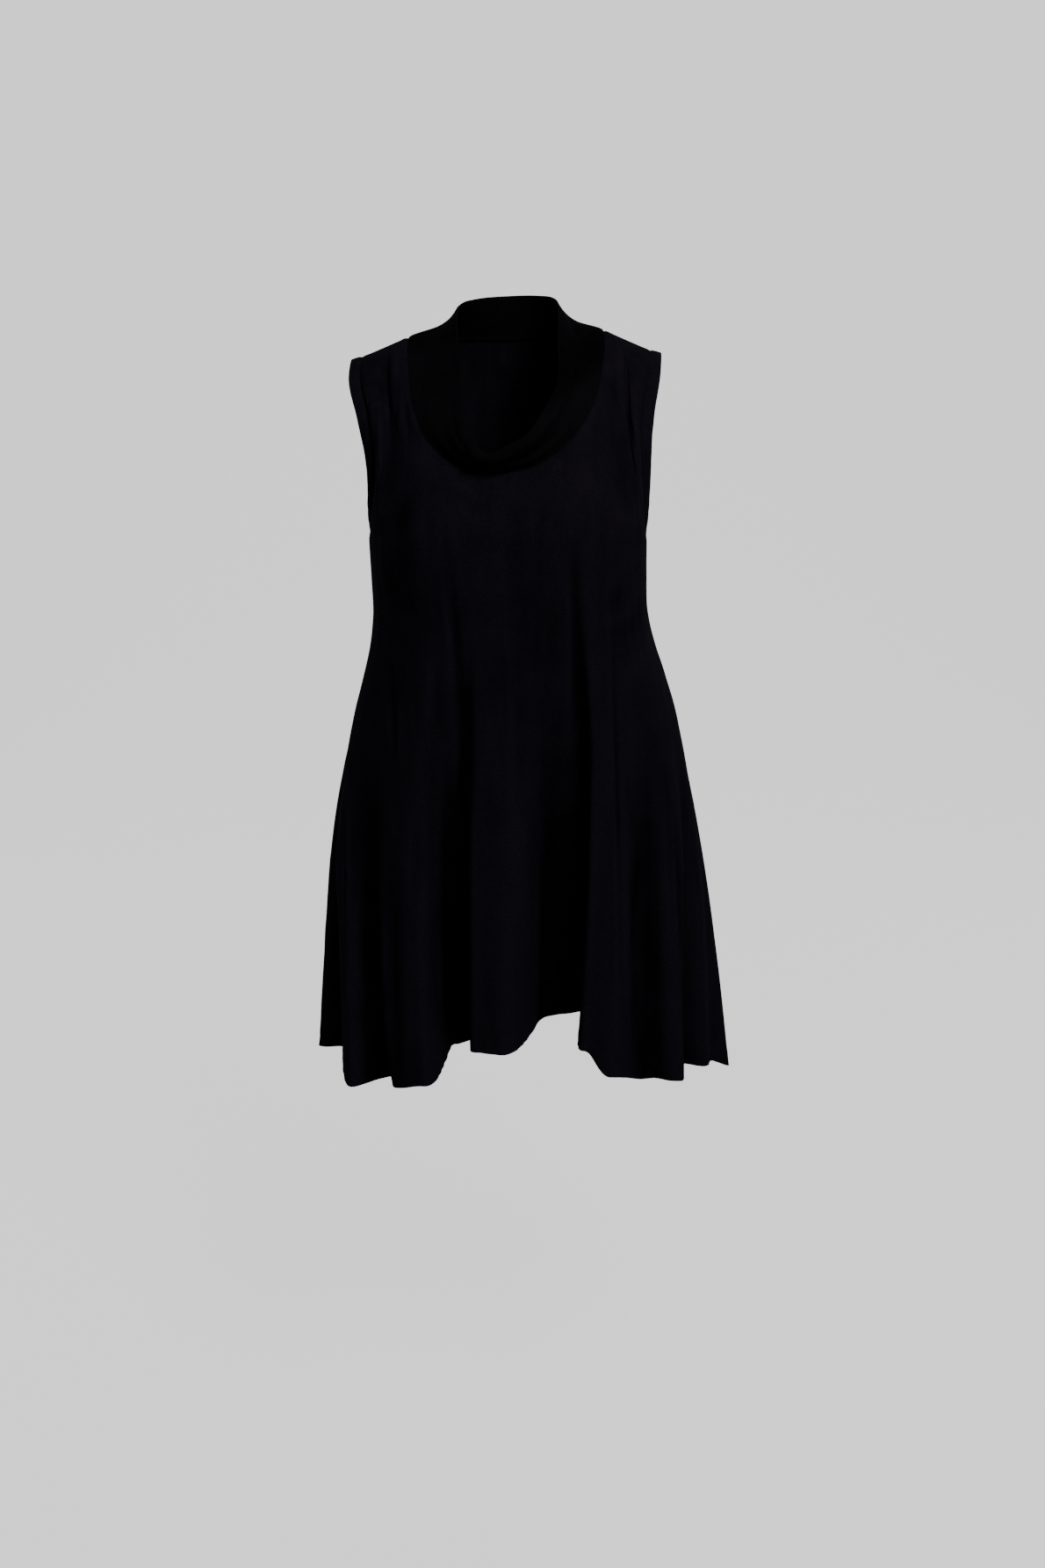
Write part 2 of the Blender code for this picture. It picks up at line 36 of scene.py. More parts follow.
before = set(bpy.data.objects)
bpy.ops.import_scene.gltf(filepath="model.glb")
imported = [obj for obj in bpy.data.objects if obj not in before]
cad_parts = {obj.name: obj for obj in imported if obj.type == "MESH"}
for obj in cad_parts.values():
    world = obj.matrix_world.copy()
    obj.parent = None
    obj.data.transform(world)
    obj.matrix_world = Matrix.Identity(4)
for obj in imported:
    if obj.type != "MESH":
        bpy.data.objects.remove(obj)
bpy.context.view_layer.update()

MM = 0.001

# The shape of the dress, in millimetres. +Z is up, the front faces -Y and the viewer's right is +X

# Sections before bust and folds: z, then how far left, right, front and back each one reaches
SECTIONS = np.array([
    (10, 172, 168, 54, 100),
    (-50, 169, 164, 74, 112),
    (-100, 167, 161, 99, 118),
    (-140, 168, 161, 118, 120),
    (-180, 170, 163, 130, 118),
    (-230, 171, 161, 135, 116),
    (-280, 170, 160, 135, 110),
    (-320, 170, 161, 133, 103),
    (-360, 176, 169, 133, 100),
    (-400, 187, 182, 136, 105),
    (-450, 202, 196, 140, 116),
    (-520, 219, 210, 146, 134),
    (-600, 235, 225, 152, 151),
    (-700, 246, 240, 159, 169),
    (-800, 255, 252, 165, 184),
    (-920, 265, 264, 170, 199),
], float)
SQUARENESS = 0.045  # how far the sections swell between their four ends

BUST_OUT = 36.0
BUST_X = 98.0
BUST_Z = -236.0
BUST_SPREAD_X = 60.0
BUST_SPREAD_UP = 72.0
BUST_SPREAD_DOWN = 165.0
BUST_FADE = 60.0  # how far in front of the sides the bust reaches its full size

# Folds of the skirt: angle at the waist and at the hem, how far out and sideways the hem moves,
# height where the fold begins and height of the hem
FOLDS = np.array([
    (-100, -93, 4, 6, -430, -877),  # left side seam
    (-90, -82.8, -30, 25, -430, -863),  # hollow behind the left side
    (-80, -68.4, -9, 73, -430, -880),  # leftmost fold's edge
    (-50, -60.3, -39, 68, -480, -872),  # narrow hollow at the left
    (-43, -52.8, -1, 84, -430, -868),  # left fold's edge
    (-33, -45.7, 5, 97, -400, -858),  # left fold's crest
    (-22, -32.9, -53, 48, -330, -834),  # left deep hollow
    (-18, -28.1, -65, 55, -330, -830),  # left deep hollow's far side
    (-13, -14, 24, 11, -330, -815),  # centre fold's edge
    (-2, -8.3, 39, 15, -340, -812),  # centre fold's crest
    (16, 8.2, -42, -3, -310, -798),  # centre deep hollow
    (25, 17.2, -61, 11, -300, -800),  # centre deep hollow's far side
    (31, 32.4, 17, -81, -300, -816),  # right fold's edge
    (40, 37.8, 33, -88, -310, -842),  # right fold's crest
    (53, 50.4, -8, -69, -380, -869),  # shallow hollow at the right
    (64, 56.8, 9, -67, -440, -871),  # rightmost fold's crest
    (73, 67.5, -39, -44, -460, -876),  # narrow hollow at the right
    (77, 73, -15, -45, -560, -880),  # thin fold at the right
    (82, 81.3, -21, -18, -560, -893),  # hollow before the right side
    (94, 90, 2, 2, -430, -917),  # right side seam
    (108, 99.8, -34, 12, -440, -904),  # hollow behind the right side
    (121, 113.7, 20, 28, -420, -908),
    (137, 128.8, -45, 20, -380, -890),
    (151, 145.3, 25, 29, -360, -893),
    (166, 160.9, -42, 13, -350, -880),
    (180, 177.5, 30, 3, -350, -886),  # centre back
    (195, 196.2, -42, -1, -350, -880),
    (210, 211.8, 26, -14, -360, -892),
    (225, 228.6, -46, -12, -380, -884),
    (240, 243.8, 21, -18, -420, -893),
    (253, 257.6, -32, -4, -440, -872),
], float)
FOLDS_BEGIN = -300.0
FOLDS_END = -790.0
FOLD_ONSET = 1.15

# Armhole seams: share of the way round, left and right x, y, z, and the way the band leaves the seam
ARMHOLE = np.array([
    (0, 170, 160.5, 0, -228, 0, 0, 1),  # underarm
    (0.22, 165, 156.5, -40, -210, 0.35, 0.55, 0.75),
    (0.48, 156, 152, -68, -152, 0.8, 0.55, 0.25),
    (0.74, 163, 155, -58, -90, 0.92, 0.38, 0.1),
    (0.9, 173, 164, -28, -44, 0.98, 0.12, -0.1),
    (1, 172, 168, 6, -19, 0.97, 0, -0.24),  # shoulder tip
    (1.1, 171, 165, 34, -40, 0.98, -0.12, -0.1),
    (1.27, 163, 160, 56, -88, 0.92, -0.38, 0.1),
    (1.53, 157.5, 154, 60, -150, 0.8, -0.55, 0.25),
    (1.79, 165, 158, 36, -208, 0.35, -0.55, 0.75),
    (2, 170, 160.5, 0, -228, 0, 0, 1),
], float)
UNDERARM_Z = -228.0
RIGHT_UNDERARM_LOWER = 16.0

# The collar: turn round the neck, x, y and z of its seam and of its folded edge, how steeply it
# reaches the edge, and how far it stands out of a smooth curve
COLLAR = np.array([
    (-180, 0, 84, 3, 0, 66, 50, 1.2, 0),
    (-150, -58, 76, 4, -36, 56, 47, 1.2, 0),
    (-120, -100, 46, 4, -56, 24, 38, 1, -1),
    (-95, -117, 8, 1, -60, -16, 22, 0.8, -2),
    (-75, -115.5, -40, -33, -58, -56, -16, 0.6, 0),
    (-55, -109, -80, -82, -53, -100, -72, 0.5, 4),
    (-38, -91, -106, -123, -50, -129, -106, 0.5, 7),
    (-24, -60, -121, -148, -38, -145, -127, 0.5, 8),
    (-12, -30, -127, -157, -22, -149, -136, 0.5, 8),
    (0, 0, -128, -156, 0, -149, -127, 0.5, 8),
    (12, 28, -127, -150, 20, -146, -116, 0.5, 8),
    (24, 54, -120, -135, 33, -138, -99, 0.5, 7),
    (38, 80, -106, -109, 46, -122, -80, 0.5, 6),
    (55, 99, -80, -75, 57, -98, -58, 0.5, 4),
    (75, 110, -40, -31, 59, -56, -16, 0.6, 0),
    (95, 113, 8, 4, 61, -12, 24, 0.8, -2),
    (120, 100, 46, 6, 58, 26, 42, 1, -1),
    (150, 58, 76, 5, 36, 56, 49, 1.2, 0),
    (180, 0, 84, 3, 0, 66, 50, 1.2, 0),
], float)
SHOULDER_POINT_TURN = 95.0
COLLAR_RIPPLE = 4.5
COLLAR_RIPPLE_TURN = 70.0
COLLAR_RIPPLES = 1.5
COLLAR_EDGE_SWELL = 1.25  # the folded edge is rounder than its two layers alone
# Painted shade on the upper part of the collar, which keeps more of its black from these distances
# below the shoulders
COLLAR_SHADE = 0.85
SHADE_BELOW_LEFT = 28.0
SHADE_BELOW_RIGHT = 55.0
SHADE_LOWER_INSIDE = 50.0
SHADE_FADE = 34.0
SHADE_TURN = 118.0
SHADE_TURN_FADE = 30.0
NECK_ANGLE = 52.0
NECK_SWING = 11.0
ARMHOLE_REACH = 0.35
ARMHOLE_BAND_WIDTH = 12.0
PROBE = 1e-3  # step for slopes

# Grids of the cloth, finer than the solids, and the light and shade painted into its colour from its
# form
NECK_COLS = 80
SHOULDER_COLS = 42
SKIRT_ROWS = 108
BODICE_ROWS = 66
COLLAR_TURNS = 300
COLLAR_ROWS = 44
EDGE_ROWS = 6
BAND_TURNS = 200
BAND_ROWS = 10
# Painted light and shade: the cloth's colour is blackest in the hollows of its folds and greyest on
# their ridges
HOLLOW_DEPTH = 11.0  # how far below its neighbours the cloth keeps its full black
RIDGE_HEIGHT = 20.0  # how far above them it is greyest
FLAT_LIGHT = 0.66  # how grey it is where it lies flat
# Painted shade in creases, and painted light on their low ridges
CREASE_SHADE = 0.2  # how much blacker each millimetre of a crease's depth makes it
MOST_SHADE_DEPTH = 4.0  # the deepest and highest that count for it
MOST_SHADE_HEIGHT = 1.0
BAND_LIGHT = 0.85  # how grey the armhole bands are
NEAR_COLUMNS = 10  # how many columns away a panel's cloth is compared with, nearby and further off
FAR_COLUMNS = 24
RING_COLUMNS = 8  # the same for the collar

# Fine form of the cloth, in millimetres
CALM_SEAM = 2.0  # creases and drape end this far from a seam, and are full this much further in
CALM_SIDE = 16.0
CALM_TOP = 14.0
DRAPE = ((0.55, 21.0, 170.0, 7, 3), (0.4, 9.5, 90.0, 0, 0))  # depth, width, length, place in the noise
DRAPE_FROM = 120.0  # height above the hem where the drape grows, and how far up it goes on growing
DRAPE_RISE = 300.0
DRAPE_LOW = 0.5  # its share of that depth near the hem, and what it gains above
DRAPE_GAIN = 0.7
HEM_WAVE = 0.5  # depth, length and height of the small waves along the hem
HEM_WAVE_LENGTH = 3.6
HEM_WAVE_HEIGHT = 1.2  # as a share of the hem's depth
HEM_WAVE_DRIFT = 40.0  # the waves grow longer and shorter over this length
HEM_WAVE_SIDE = 12.0  # they fade out this close to a side
HEM_TURN = 3.0  # the turned hem's upper edge slopes over this height
HEM_STEP = 0.35  # the turned hem stands out by this, with a groove as deep above it
HEM_GROOVE = 1.6
HEM_DOUBLING = 0.9  # how much thicker the turned hem is, as a share of one layer
SEAM_WIDTH = 2.4
SEAM_PUCKER = 0.25  # height of the low ridge beside a seam, as a share of the seam's dip
PUCKER_AWAY = 6.0
PUCKER_WIDTH = 3.0
CREASE_START = 0.32  # the shares of its length over which a crease begins and ends
CREASE_END = 0.45
CREASE_SHOULDER = 0.45  # the low ridge beside a crease: its height, and its distance in half widths
SHOULDER_AWAY = 2.1
COLLAR_DRAPE = (0.4, 9.0, 17.0)  # depth, degrees round the neck and height of the collar's soft waves
COLLAR_SEAM_WIDTH = 2.2
BAND_DRAPE = 0.35  # depth, number round the armhole and height of a band's soft waves
BAND_WAVES = 46
BAND_WAVE_HEIGHT = 30.0
BAND_ROUND = 0.35  # how far a band's middle stands out
BAND_SEAM_WIDTH = 1.8
SHARPEST_CURVE = 50.0  # cloth edges steeper than this, in degrees, are drawn as edges

# Creases of the panels, each from one end to the other as the panel is seen from outside:
# x and z of its ends, depth below the cloth (a ridge is negative), half width, sideways bow
FRONT_CREASES = np.array([
    # Wide hollows and ridges of the skirt, which run out over the hem
    (-232, -560, -240, -1150, 2.6, 9, 0),
    (-176, -430, -190, -1150, 4.6, 14, 0),
    (-150, -540, -156, -1150, 3.6, 8, 0),
    (-109, -560, -118, -1050, -2.4, 6, 2),
    (-71, -226, -61, -560, 3.4, 5, -3),
    (36, -440, 46, -1100, 3.6, 14, 2),
    (69, -200, 77, -550, 3.6, 5, 3),
    (134, -440, 138, -1150, 4.6, 11, 0),
    (154, -460, 160, -1150, 4.4, 10, 0),
    (186, -480, 206, -1150, 3.4, 10, 0),
    (113, -280, 118, -940, 3.4, 2.8, 1),  # thin line beside the brightest ridge
    (-203, -430, -216, -1000, -2, 2.3, 0),  # thin edges that catch the light
    (180, -420, 190, -1000, -2, 2.3, 0),
    (212, -600, 228, -1000, -1.6, 2.3, -3),
    # Shoulders and bust
    (-116, -26, -113, -142, 2.6, 3, 1),  # drape line beside the collar
    (-131, 0, -135, -130, -2.4, 5.4, 1),
    (-141, -60, -148, -210, -1.6, 4.6, 3),
    (-128, -170, -131, -300, 2.2, 9, -3),  # soft hollow from the left bust to the waist
    (-92, -166, -24, -190, -1.3, 4, -6),  # under the collar's lowest point
    (-70, -196, 40, -214, 0.9, 9, -8),
    (66, -94, 40, -146, 1.3, 3.4, -4),  # beside the collar at the right
    (130, 0, 134, -130, -2.4, 5.4, -1),
    (134, -50, 142, -200, -1.6, 4.6, -3),
    (118, -150, 150, -222, 1.5, 6, 8),  # from the right bust to the underarm
    (145, -160, 146, -210, -0.7, 3.6, 0),
    (-112, -176, -156, -226, 1.5, 6, -8),
    (-96, -200, -152, -244, -1, 7, -8),
    # Drag lines at the sides of the waist
    (-150, -268, -96, -318, 1.2, 9, 8),
    (-158, -306, -112, -352, 1.4, 8, 8),
    (-164, -352, -128, -386, 1, 7, 6),
    (148, -262, 92, -312, 1.3, 9, -9),
    (154, -300, 108, -348, 1.5, 8, -9),
    (160, -344, 120, -394, -1.3, 8, -8),
    # Short fine lines of the hips and skirt
    (-141, -370, -143, -482, 1.7, 2.8, 1),
    (-134, -400, -136, -520, -1, 3.6, 1),
    (-120, -520, -127, -700, 1.2, 5, -2),
    (-196, -520, -214, -760, 1.4, 6, 3),
    (178, -470, 200, -700, -1.5, 4, -3),
    (134, -600, 138, -800, 1.2, 4, 2),
    (8, -360, 4, -560, 1.4, 6, 3),
    (-30, -400, -36, -560, -1, 8, 2),
    (-84, -340, -92, -480, 1.3, 6, 2),
], float)
BACK_CREASES = np.array([
    (-58, -24, -92, -96, 1.3, 6, 6),  # from the neck over the shoulder blades
    (62, -22, 98, -104, 1.1, 7, -6),
    (-20, -20, 24, -34, 1, 8, 5),
    (-128, -110, -146, -214, 1.6, 5, 5),
    (130, -104, 144, -220, 1.4, 6, -5),
    (-150, -236, -92, -286, 1.3, 8, 8),  # drag lines into the small of the back
    (-156, -286, -84, -330, 1.8, 8, 8),
    (-160, -334, -100, -366, 1.4, 7, 6),
    (146, -246, 88, -300, 1.4, 9, -8),
    (152, -300, 78, -342, 1.7, 8, -8),
    (156, -346, 104, -380, 1.2, 7, -6),
    (-40, -318, 44, -328, 1.3, 9, 7),
    (-30, -352, 36, -358, 0.9, 8, 5),
    (-60, -380, -66, -500, 1.3, 6, 2),
    (20, -400, 24, -560, 1.2, 7, -2),
    (84, -380, 92, -520, 1.4, 6, 2),
    (-120, -440, -132, -640, 1.5, 6, -3),
    (146, -450, 160, -660, 1.5, 6, 3),
    (-180, -560, -198, -780, 1.2, 6, 3),
    (-10, -600, -14, -800, 1.1, 6, 3),
], float)

# Creases of the collar: turn and share of the way to its folded edge at each end, depth and half width
COLLAR_CREASES = np.array([
    (-60, 0.82, -14, 0.7, 1.8, 3),  # where the inner edge rolls under
    (-34, 0.98, -20, 0.34, 2.6, 3.4),  # pinch at the lowest point
    (-26, 1, -14, 0.3, -2, 3.2),
    (-16, 0.96, -12, 0.36, 2.2, 3),
    (-10, 0.9, 16, 0.58, 1.5, 3.4),
    (-6, 0.4, 40, 0.34, 1.5, 3.2),  # runs up the right side beside the seam
    (8, 0.8, 56, 0.7, -1.4, 3.6),
    (30, 0.6, 84, 0.52, 1.8, 4),
    (58, 0.16, 112, 0.78, 2.4, 3.6),  # upright folds at the right side of the neck
    (74, 0.86, 104, 0.34, 2, 3.4),
    (-112, 0.84, -92, 0.22, 2.2, 4),
    (-88, 0.3, -46, 0.2, 1.2, 4),
    (-96, 0.62, -66, 0.74, -1, 5),
    (66, 0.26, 104, 0.34, 1.2, 4.4),
    (-150, 0.5, -112, 0.4, 1.2, 5),
    (118, 0.56, 156, 0.44, 1.3, 5),
    (-176, 0.36, -148, 0.3, 0.9, 5),
], float)


def linear(hex_colour):
    """An sRGB hex colour as linear red, green and blue."""
    channels = [int(hex_colour[i : i + 2], 16) / 255 for i in (1, 3, 5)]
    return tuple(c / 12.92 if c <= 0.04045 else ((c + 0.055) / 1.055) ** 2.4 for c in channels)


# Sizes and colours that a user may change


def size_property(name, description, default, low, high):
    """A size in metres."""
    return FloatProperty(
        name=name, description=description, default=default, min=low, max=high,
        subtype="DISTANCE", unit="LENGTH", precision=5,
    )


def colour_property(name, description, hex_colour):
    """A colour, given as sRGB hex."""
    return FloatVectorProperty(
        name=name, description=description, default=linear(hex_colour), min=0.0, max=1.0,
        subtype="COLOR",
    )


class ClothSettings(bpy.types.PropertyGroup):
    thickness: size_property(
        "Thickness", "Thickness of one layer of the knit", 0.0011, 0.0004, 0.003
    )
    collar_thickness: size_property(
        "Collar thickness", "Thickness of the collar band, which is two layers", 0.0026, 0.001, 0.006
    )
    band_thickness: size_property(
        "Armhole band thickness", "Thickness of each armhole's folded band", 0.0022, 0.001, 0.006
    )
    seam_dip: size_property(
        "Seam dip", "How far the cloth sinks where two pieces are sewn together", 0.0006, 0.0, 0.003
    )
    hem_depth: size_property(
        "Hem depth", "Width of the hem's turned fold", 0.022, 0.005, 0.06
    )
    crease_strength: FloatProperty(
        name="Crease strength",
        description="How deep the creases are, as a share of the table's depths",
        default=1.0, min=0.0, max=2.0, subtype="FACTOR",
    )
    wale: size_property(
        "Wale spacing", "Distance between the knit's columns of stitches", 0.0016, 0.0005, 0.01
    )
    # Painted shade: the colour kept in the hollows of the folds, where the painted light is least
    painted_shade_colour: colour_property(
        "Cloth in hollows", "Full black of the dyed knit, kept in the folds", "#020203"
    )
    face_colour: colour_property(
        "Cloth", "Black of the knit where it lies open to the light", "#0a090d"
    )
    # Painted highlight on the ridges of the folds, broken up by the fuzz of raised fibres
    fuzz_and_highlight_colour: colour_property(
        "Raised fibres", "The greyer black of the loops' raised fibres on the ridges", "#120f16"
    )
    # The collar's own blacker tone, darkened further by painted shade
    doubled_colour_and_shade: colour_property(
        "Doubled cloth", "Black of the doubled knit of the collar", "#08080a"
    )


class StitchSettings(bpy.types.PropertyGroup):
    length: size_property(
        "Stitch length", "Length of one stitch of the twin-needle rows", 0.0029, 0.001, 0.01
    )
    thread: size_property(
        "Thread thickness", "Diameter of the sewing thread", 0.00045, 0.0001, 0.002
    )
    colour: colour_property("Thread", "Black polyester sewing thread", "#0d0d11")


class StageSettings(bpy.types.PropertyGroup):
    floor_z: FloatProperty(
        name="Floor height",
        description="Height of the floor below the shoulder seams",
        default=-1.44, subtype="DISTANCE", unit="LENGTH",
    )
    floor_colour: colour_property("Floor", "Pale grey of the floor and backdrop", "#5a5a5a")
    paper_glow: FloatProperty(
        name="Paper glow",
        description="How bright the paper looks to the camera",
        default=1.15, min=0.0, max=4.0,
    )
    light_strength: FloatProperty(
        name="Light strength",
        description="Strength of the studio lights, as a share of their own",
        default=1.0, min=0.0, max=10.0, subtype="FACTOR",
    )


# Curves and surfaces of the dress


def spline(keys, values, at, period=None):
    """A smooth curve through the rows of values at the keys; period closes it on itself."""
    keys = np.asarray(keys, float)
    values = np.asarray(values, float).reshape(len(keys), -1)
    at = np.asarray(at, float)
    slopes = np.gradient(values, keys, axis=0)
    if period is not None:
        at = (at - keys[0]) % period + keys[0]
        span = keys[-1] - keys[-2] + keys[1] - keys[0]
        slopes[0] = slopes[-1] = (values[1] - values[-2]) / span
    place = np.clip(np.searchsorted(keys, at, side="right") - 1, 0, len(keys) - 2)
    width = (keys[place + 1] - keys[place])[..., None]
    share = (at - keys[place])[..., None] / width
    return hermite(
        values[place], values[place + 1], slopes[place] * width, slopes[place + 1] * width, share
    )


def hermite(start, end, start_slope, end_slope, share):
    """The cubic that leaves start and reaches end with those slopes."""
    square, cube = share**2, share**3
    return (
        (2 * cube - 3 * square + 1) * start
        + (cube - 2 * square + share) * start_slope
        + (3 * square - 2 * cube) * end
        + (cube - square) * end_slope
    )


def section_sizes(z):
    """Left, right, front and back of the section at each height."""
    return np.moveaxis(spline(-SECTIONS[:, 0], SECTIONS[:, 1:], -np.asarray(z, float)), -1, 0)


def fold_values(angle, z):
    """The out, along, top and hem_z of the folds for a column of that angle at that height."""
    angle, z = np.broadcast_arrays(np.asarray(angle, float), np.asarray(z, float))
    down = np.clip((FOLDS_BEGIN - z) / (FOLDS_BEGIN - FOLDS_END), 0, 1)[..., None]
    places = FOLDS[:, 0] + (FOLDS[:, 1] - FOLDS[:, 0]) * down
    places = np.concatenate([places, places[..., :1] + 360.0], axis=-1)
    values = np.concatenate([FOLDS[:, 2:], FOLDS[:1, 2:]])
    at = (angle - places[..., 0]) % 360.0 + places[..., 0]
    row = np.clip((places <= at[..., None]).sum(axis=-1) - 1, 0, len(FOLDS) - 1)
    start = np.take_along_axis(places, row[..., None], axis=-1)[..., 0]
    end = np.take_along_axis(places, row[..., None] + 1, axis=-1)[..., 0]
    eased = smooth((at - start) / (end - start))[..., None]
    return np.moveaxis(values[row] * (1 - eased) + values[row + 1] * eased, -1, 0)


def unit(vectors):
    """The vectors at length 1."""
    return vectors / np.maximum(np.linalg.norm(vectors, axis=-1, keepdims=True), 1e-12)


def ring_point(angle, z):
    """A point of the section at that height and angle, before bust and folds."""
    left, right, front, back = section_sizes(z)
    turn = np.radians(angle)
    across, forward = np.sin(turn), np.cos(turn)
    swell = 1 + SQUARENESS * np.sin(2 * turn) ** 2
    x = np.where(across < 0, left, right) * across * swell
    y = -np.where(forward > 0, front, back) * forward * swell
    return np.stack([x, y, z + 0 * x], axis=-1)


def bust(points):
    """How far the cloth stands forward over the bust at each point of the front."""
    x, y, z = np.moveaxis(points, -1, 0)
    spread = np.where(z > BUST_Z, BUST_SPREAD_UP, BUST_SPREAD_DOWN)
    sides = bell(x + BUST_X, BUST_SPREAD_X) + bell(x - BUST_X, BUST_SPREAD_X)
    return BUST_OUT * bell(z - BUST_Z, spread) * sides * np.clip(-y / BUST_FADE, 0, 1)


def skirt_point(angle, z):
    """A point of the cloth below the bust line, with its folds."""
    angle = np.asarray(angle, float)
    point = ring_point(angle, z)
    ahead = unit(ring_point(angle + 0.5, z) - ring_point(angle - 0.5, z))
    outward = np.stack([ahead[..., 1], -ahead[..., 0], 0 * ahead[..., 0]], axis=-1)
    out, along, top, hem = fold_values(angle, z)
    grown = (np.clip((top - z) / (top - hem), 0, 1) ** FOLD_ONSET)[..., None]
    return point + outward * out[..., None] * grown + ahead * along[..., None] * grown


def across_seam(along, way):
    """The direction in the cloth square across a seam, from the seam's direction and the cloth's."""
    along = unit(along)
    return unit(way - along * (way * along).sum(axis=-1, keepdims=True))


def armhole_seam(share, side):
    """One armhole's seam: its points, and the directions across it and out of the cloth."""
    share = np.asarray(share, float)

    def point(at):
        place = spline(ARMHOLE[:, 0], ARMHOLE[:, 1:5], at, period=2.0)
        left_x, right_x, y, z = np.moveaxis(place, -1, 0)
        low = np.abs(1 - at % 2.0) ** 2
        z = z - (side > 0) * RIGHT_UNDERARM_LOWER * low
        return np.stack([side * np.where(side > 0, right_x, left_x), y, z], axis=-1)

    way = spline(ARMHOLE[:, 0], ARMHOLE[:, 5:], share, period=2.0) * (side, 1, 1)
    along = point(share + PROBE) - point(share - PROBE)
    across = across_seam(along, way)
    return point(share), across, -side * unit(np.cross(along, across))


def neckline_seam(turn):
    """The neckline's seam: its points, and the directions across it and out of the cloth."""
    turn = np.asarray(turn, float)

    def point(at):
        return spline(COLLAR[:, 0], COLLAR[:, 1:4], at, period=360.0)

    round_neck = np.radians(turn)
    side, ahead = np.sin(round_neck), np.cos(round_neck)
    # The collar leaves its seam upward in front and inward at the sides
    way = np.stack([-0.92 * side, 0.35 * ahead, 0.94 * ahead**2 + 0.30 * side**2], axis=-1)
    along = point(turn + 0.1) - point(turn - 0.1)
    across = across_seam(along, way)
    return point(turn), across, unit(np.cross(along, across))


def shoulder_seam(share, side):
    """The shoulder's seam from tip to neck: its points and the directions out of the cloth."""
    tip = armhole_seam(np.ones(1), side)[0][0]
    neck = neckline_seam(np.array([side * SHOULDER_POINT_TURN]))[0][0]
    share = np.asarray(share, float)[:, None]
    upward = unit(across_seam(neck - tip, np.array([0.0, 0.0, 1.0]))) + 0 * share
    return tip + (neck - tip) * share, upward


def underarm_height(angle):
    """Height of the row that joins the two underarm points."""
    low, lower = UNDERARM_Z, UNDERARM_Z - RIGHT_UNDERARM_LOWER
    return (low + lower) / 2 + (lower - low) / 2 * np.sin(np.radians(angle))


def top_edge(across, back):
    """Where each column of a panel ends: the points and the directions out of the cloth."""
    end, out = (np.zeros(across.shape + (3,)) for _ in range(2))
    for side in (-1.0, 1.0):
        this = np.where(across < 0, -1.0, 1.0) == side
        top = this & (np.abs(across) * 90.0 > NECK_ANGLE)
        share = (90.0 - np.abs(across[top]) * 90.0) / (90.0 - NECK_ANGLE)
        end[top], out[top] = shoulder_seam(share, side)
    neck = np.abs(across) * 90.0 <= NECK_ANGLE
    turn = across[neck] * 90.0 / NECK_ANGLE * SHOULDER_POINT_TURN
    if back:
        turn = 180.0 - turn / SHOULDER_POINT_TURN * (180.0 - SHOULDER_POINT_TURN)
    end[neck], _, out[neck] = neckline_seam(turn)
    return end, out


def section_turn(x, z):
    """The angle at which the front of the section reaches x."""
    left, right, _, _ = section_sizes(z)
    share = x / np.where(x < 0, left, right)
    turn = np.arcsin(np.clip(share, -1, 1))
    for _ in range(4):
        turn = np.arcsin(np.clip(share / (1 + SQUARENESS * np.sin(2 * turn) ** 2), -1, 1))
    return np.degrees(turn)


def plain_surface(turn, z, back):
    """The front or back of the bodice without its armholes, over the bust at the front."""
    point = ring_point(180.0 - turn if back else turn, z)
    if not back:
        point[..., 1] -= bust(point)
    return point


def neck_swing(turn, up):
    """How far the columns of the front swing out, most of all at the shoulder's inner point."""
    inside = np.abs(turn) / NECK_ANGLE
    beyond = (np.abs(turn) - NECK_ANGLE) / (90.0 - NECK_ANGLE)
    strength = np.sin(np.pi / 2 * np.where(beyond > 0, 1 + beyond, inside)) ** 2
    # 6.75 makes the peak of up**2 * (1 - up) 1
    return np.sign(turn) * NECK_SWING * strength * 6.75 * up**2 * (1 - up)


def bodice_column(across, up, back):
    """A point of a plain column: up from the underarm row, then over to the top edge."""
    end = top_edge(across, back)[0]
    turn = across * 90.0
    start = underarm_height(180.0 - turn if back else turn)
    end_turn = section_turn(end[..., 0], end[..., 2])
    risen = np.sin(np.pi / 2 * up)
    eased = up * (2 - up)
    z = start + (end[..., 2] - start) * risen
    swing = 0 if back else neck_swing(turn, up)
    point = plain_surface(turn + (end_turn - turn) * eased + swing, z, back)
    last = plain_surface(end_turn, end[..., 2], back)
    rounded = np.clip(np.abs(turn) / NECK_ANGLE, 0, 1) ** 2
    over = rounded * (1 - np.cos(np.pi / 2 * up)) + (1 - rounded) * risen**3
    point[..., 0] += (end - last)[..., 0] * eased
    point[..., 1] += (end - last)[..., 1] * over
    return point


def panel_point(across, up, back):
    """A point of the front or back. Up is -1 at the hem, 0 at the underarm and 1 at the top edge."""
    across, up = np.broadcast_arrays(np.asarray(across, float), np.asarray(up, float))
    angle = 180.0 - across * 90.0 if back else across * 90.0
    start, hem = underarm_height(angle), fold_values(angle, FOLDS_END)[3]
    lower = skirt_point(angle, start + (hem - start) * np.maximum(-up, 0))
    risen = np.maximum(up, 0)
    upper = bodice_column(across, risen, back)
    beside = np.clip((np.abs(across) - ARMHOLE_REACH) / (1 - ARMHOLE_REACH), 0, None)
    beside = beside**2 * (3 - 2 * np.minimum(beside, 1))
    for side in (-1.0, 1.0):
        edge = armhole_seam(2.0 - risen if back else risen, side)[0]
        pull = edge - bodice_column(side + 0 * across, risen, back)
        upper = upper + pull * (beside * (across * side > 0))[..., None]
    if not back:
        lower[..., 1] -= bust(lower)
    return np.where((up > 0)[..., None], upper, lower)


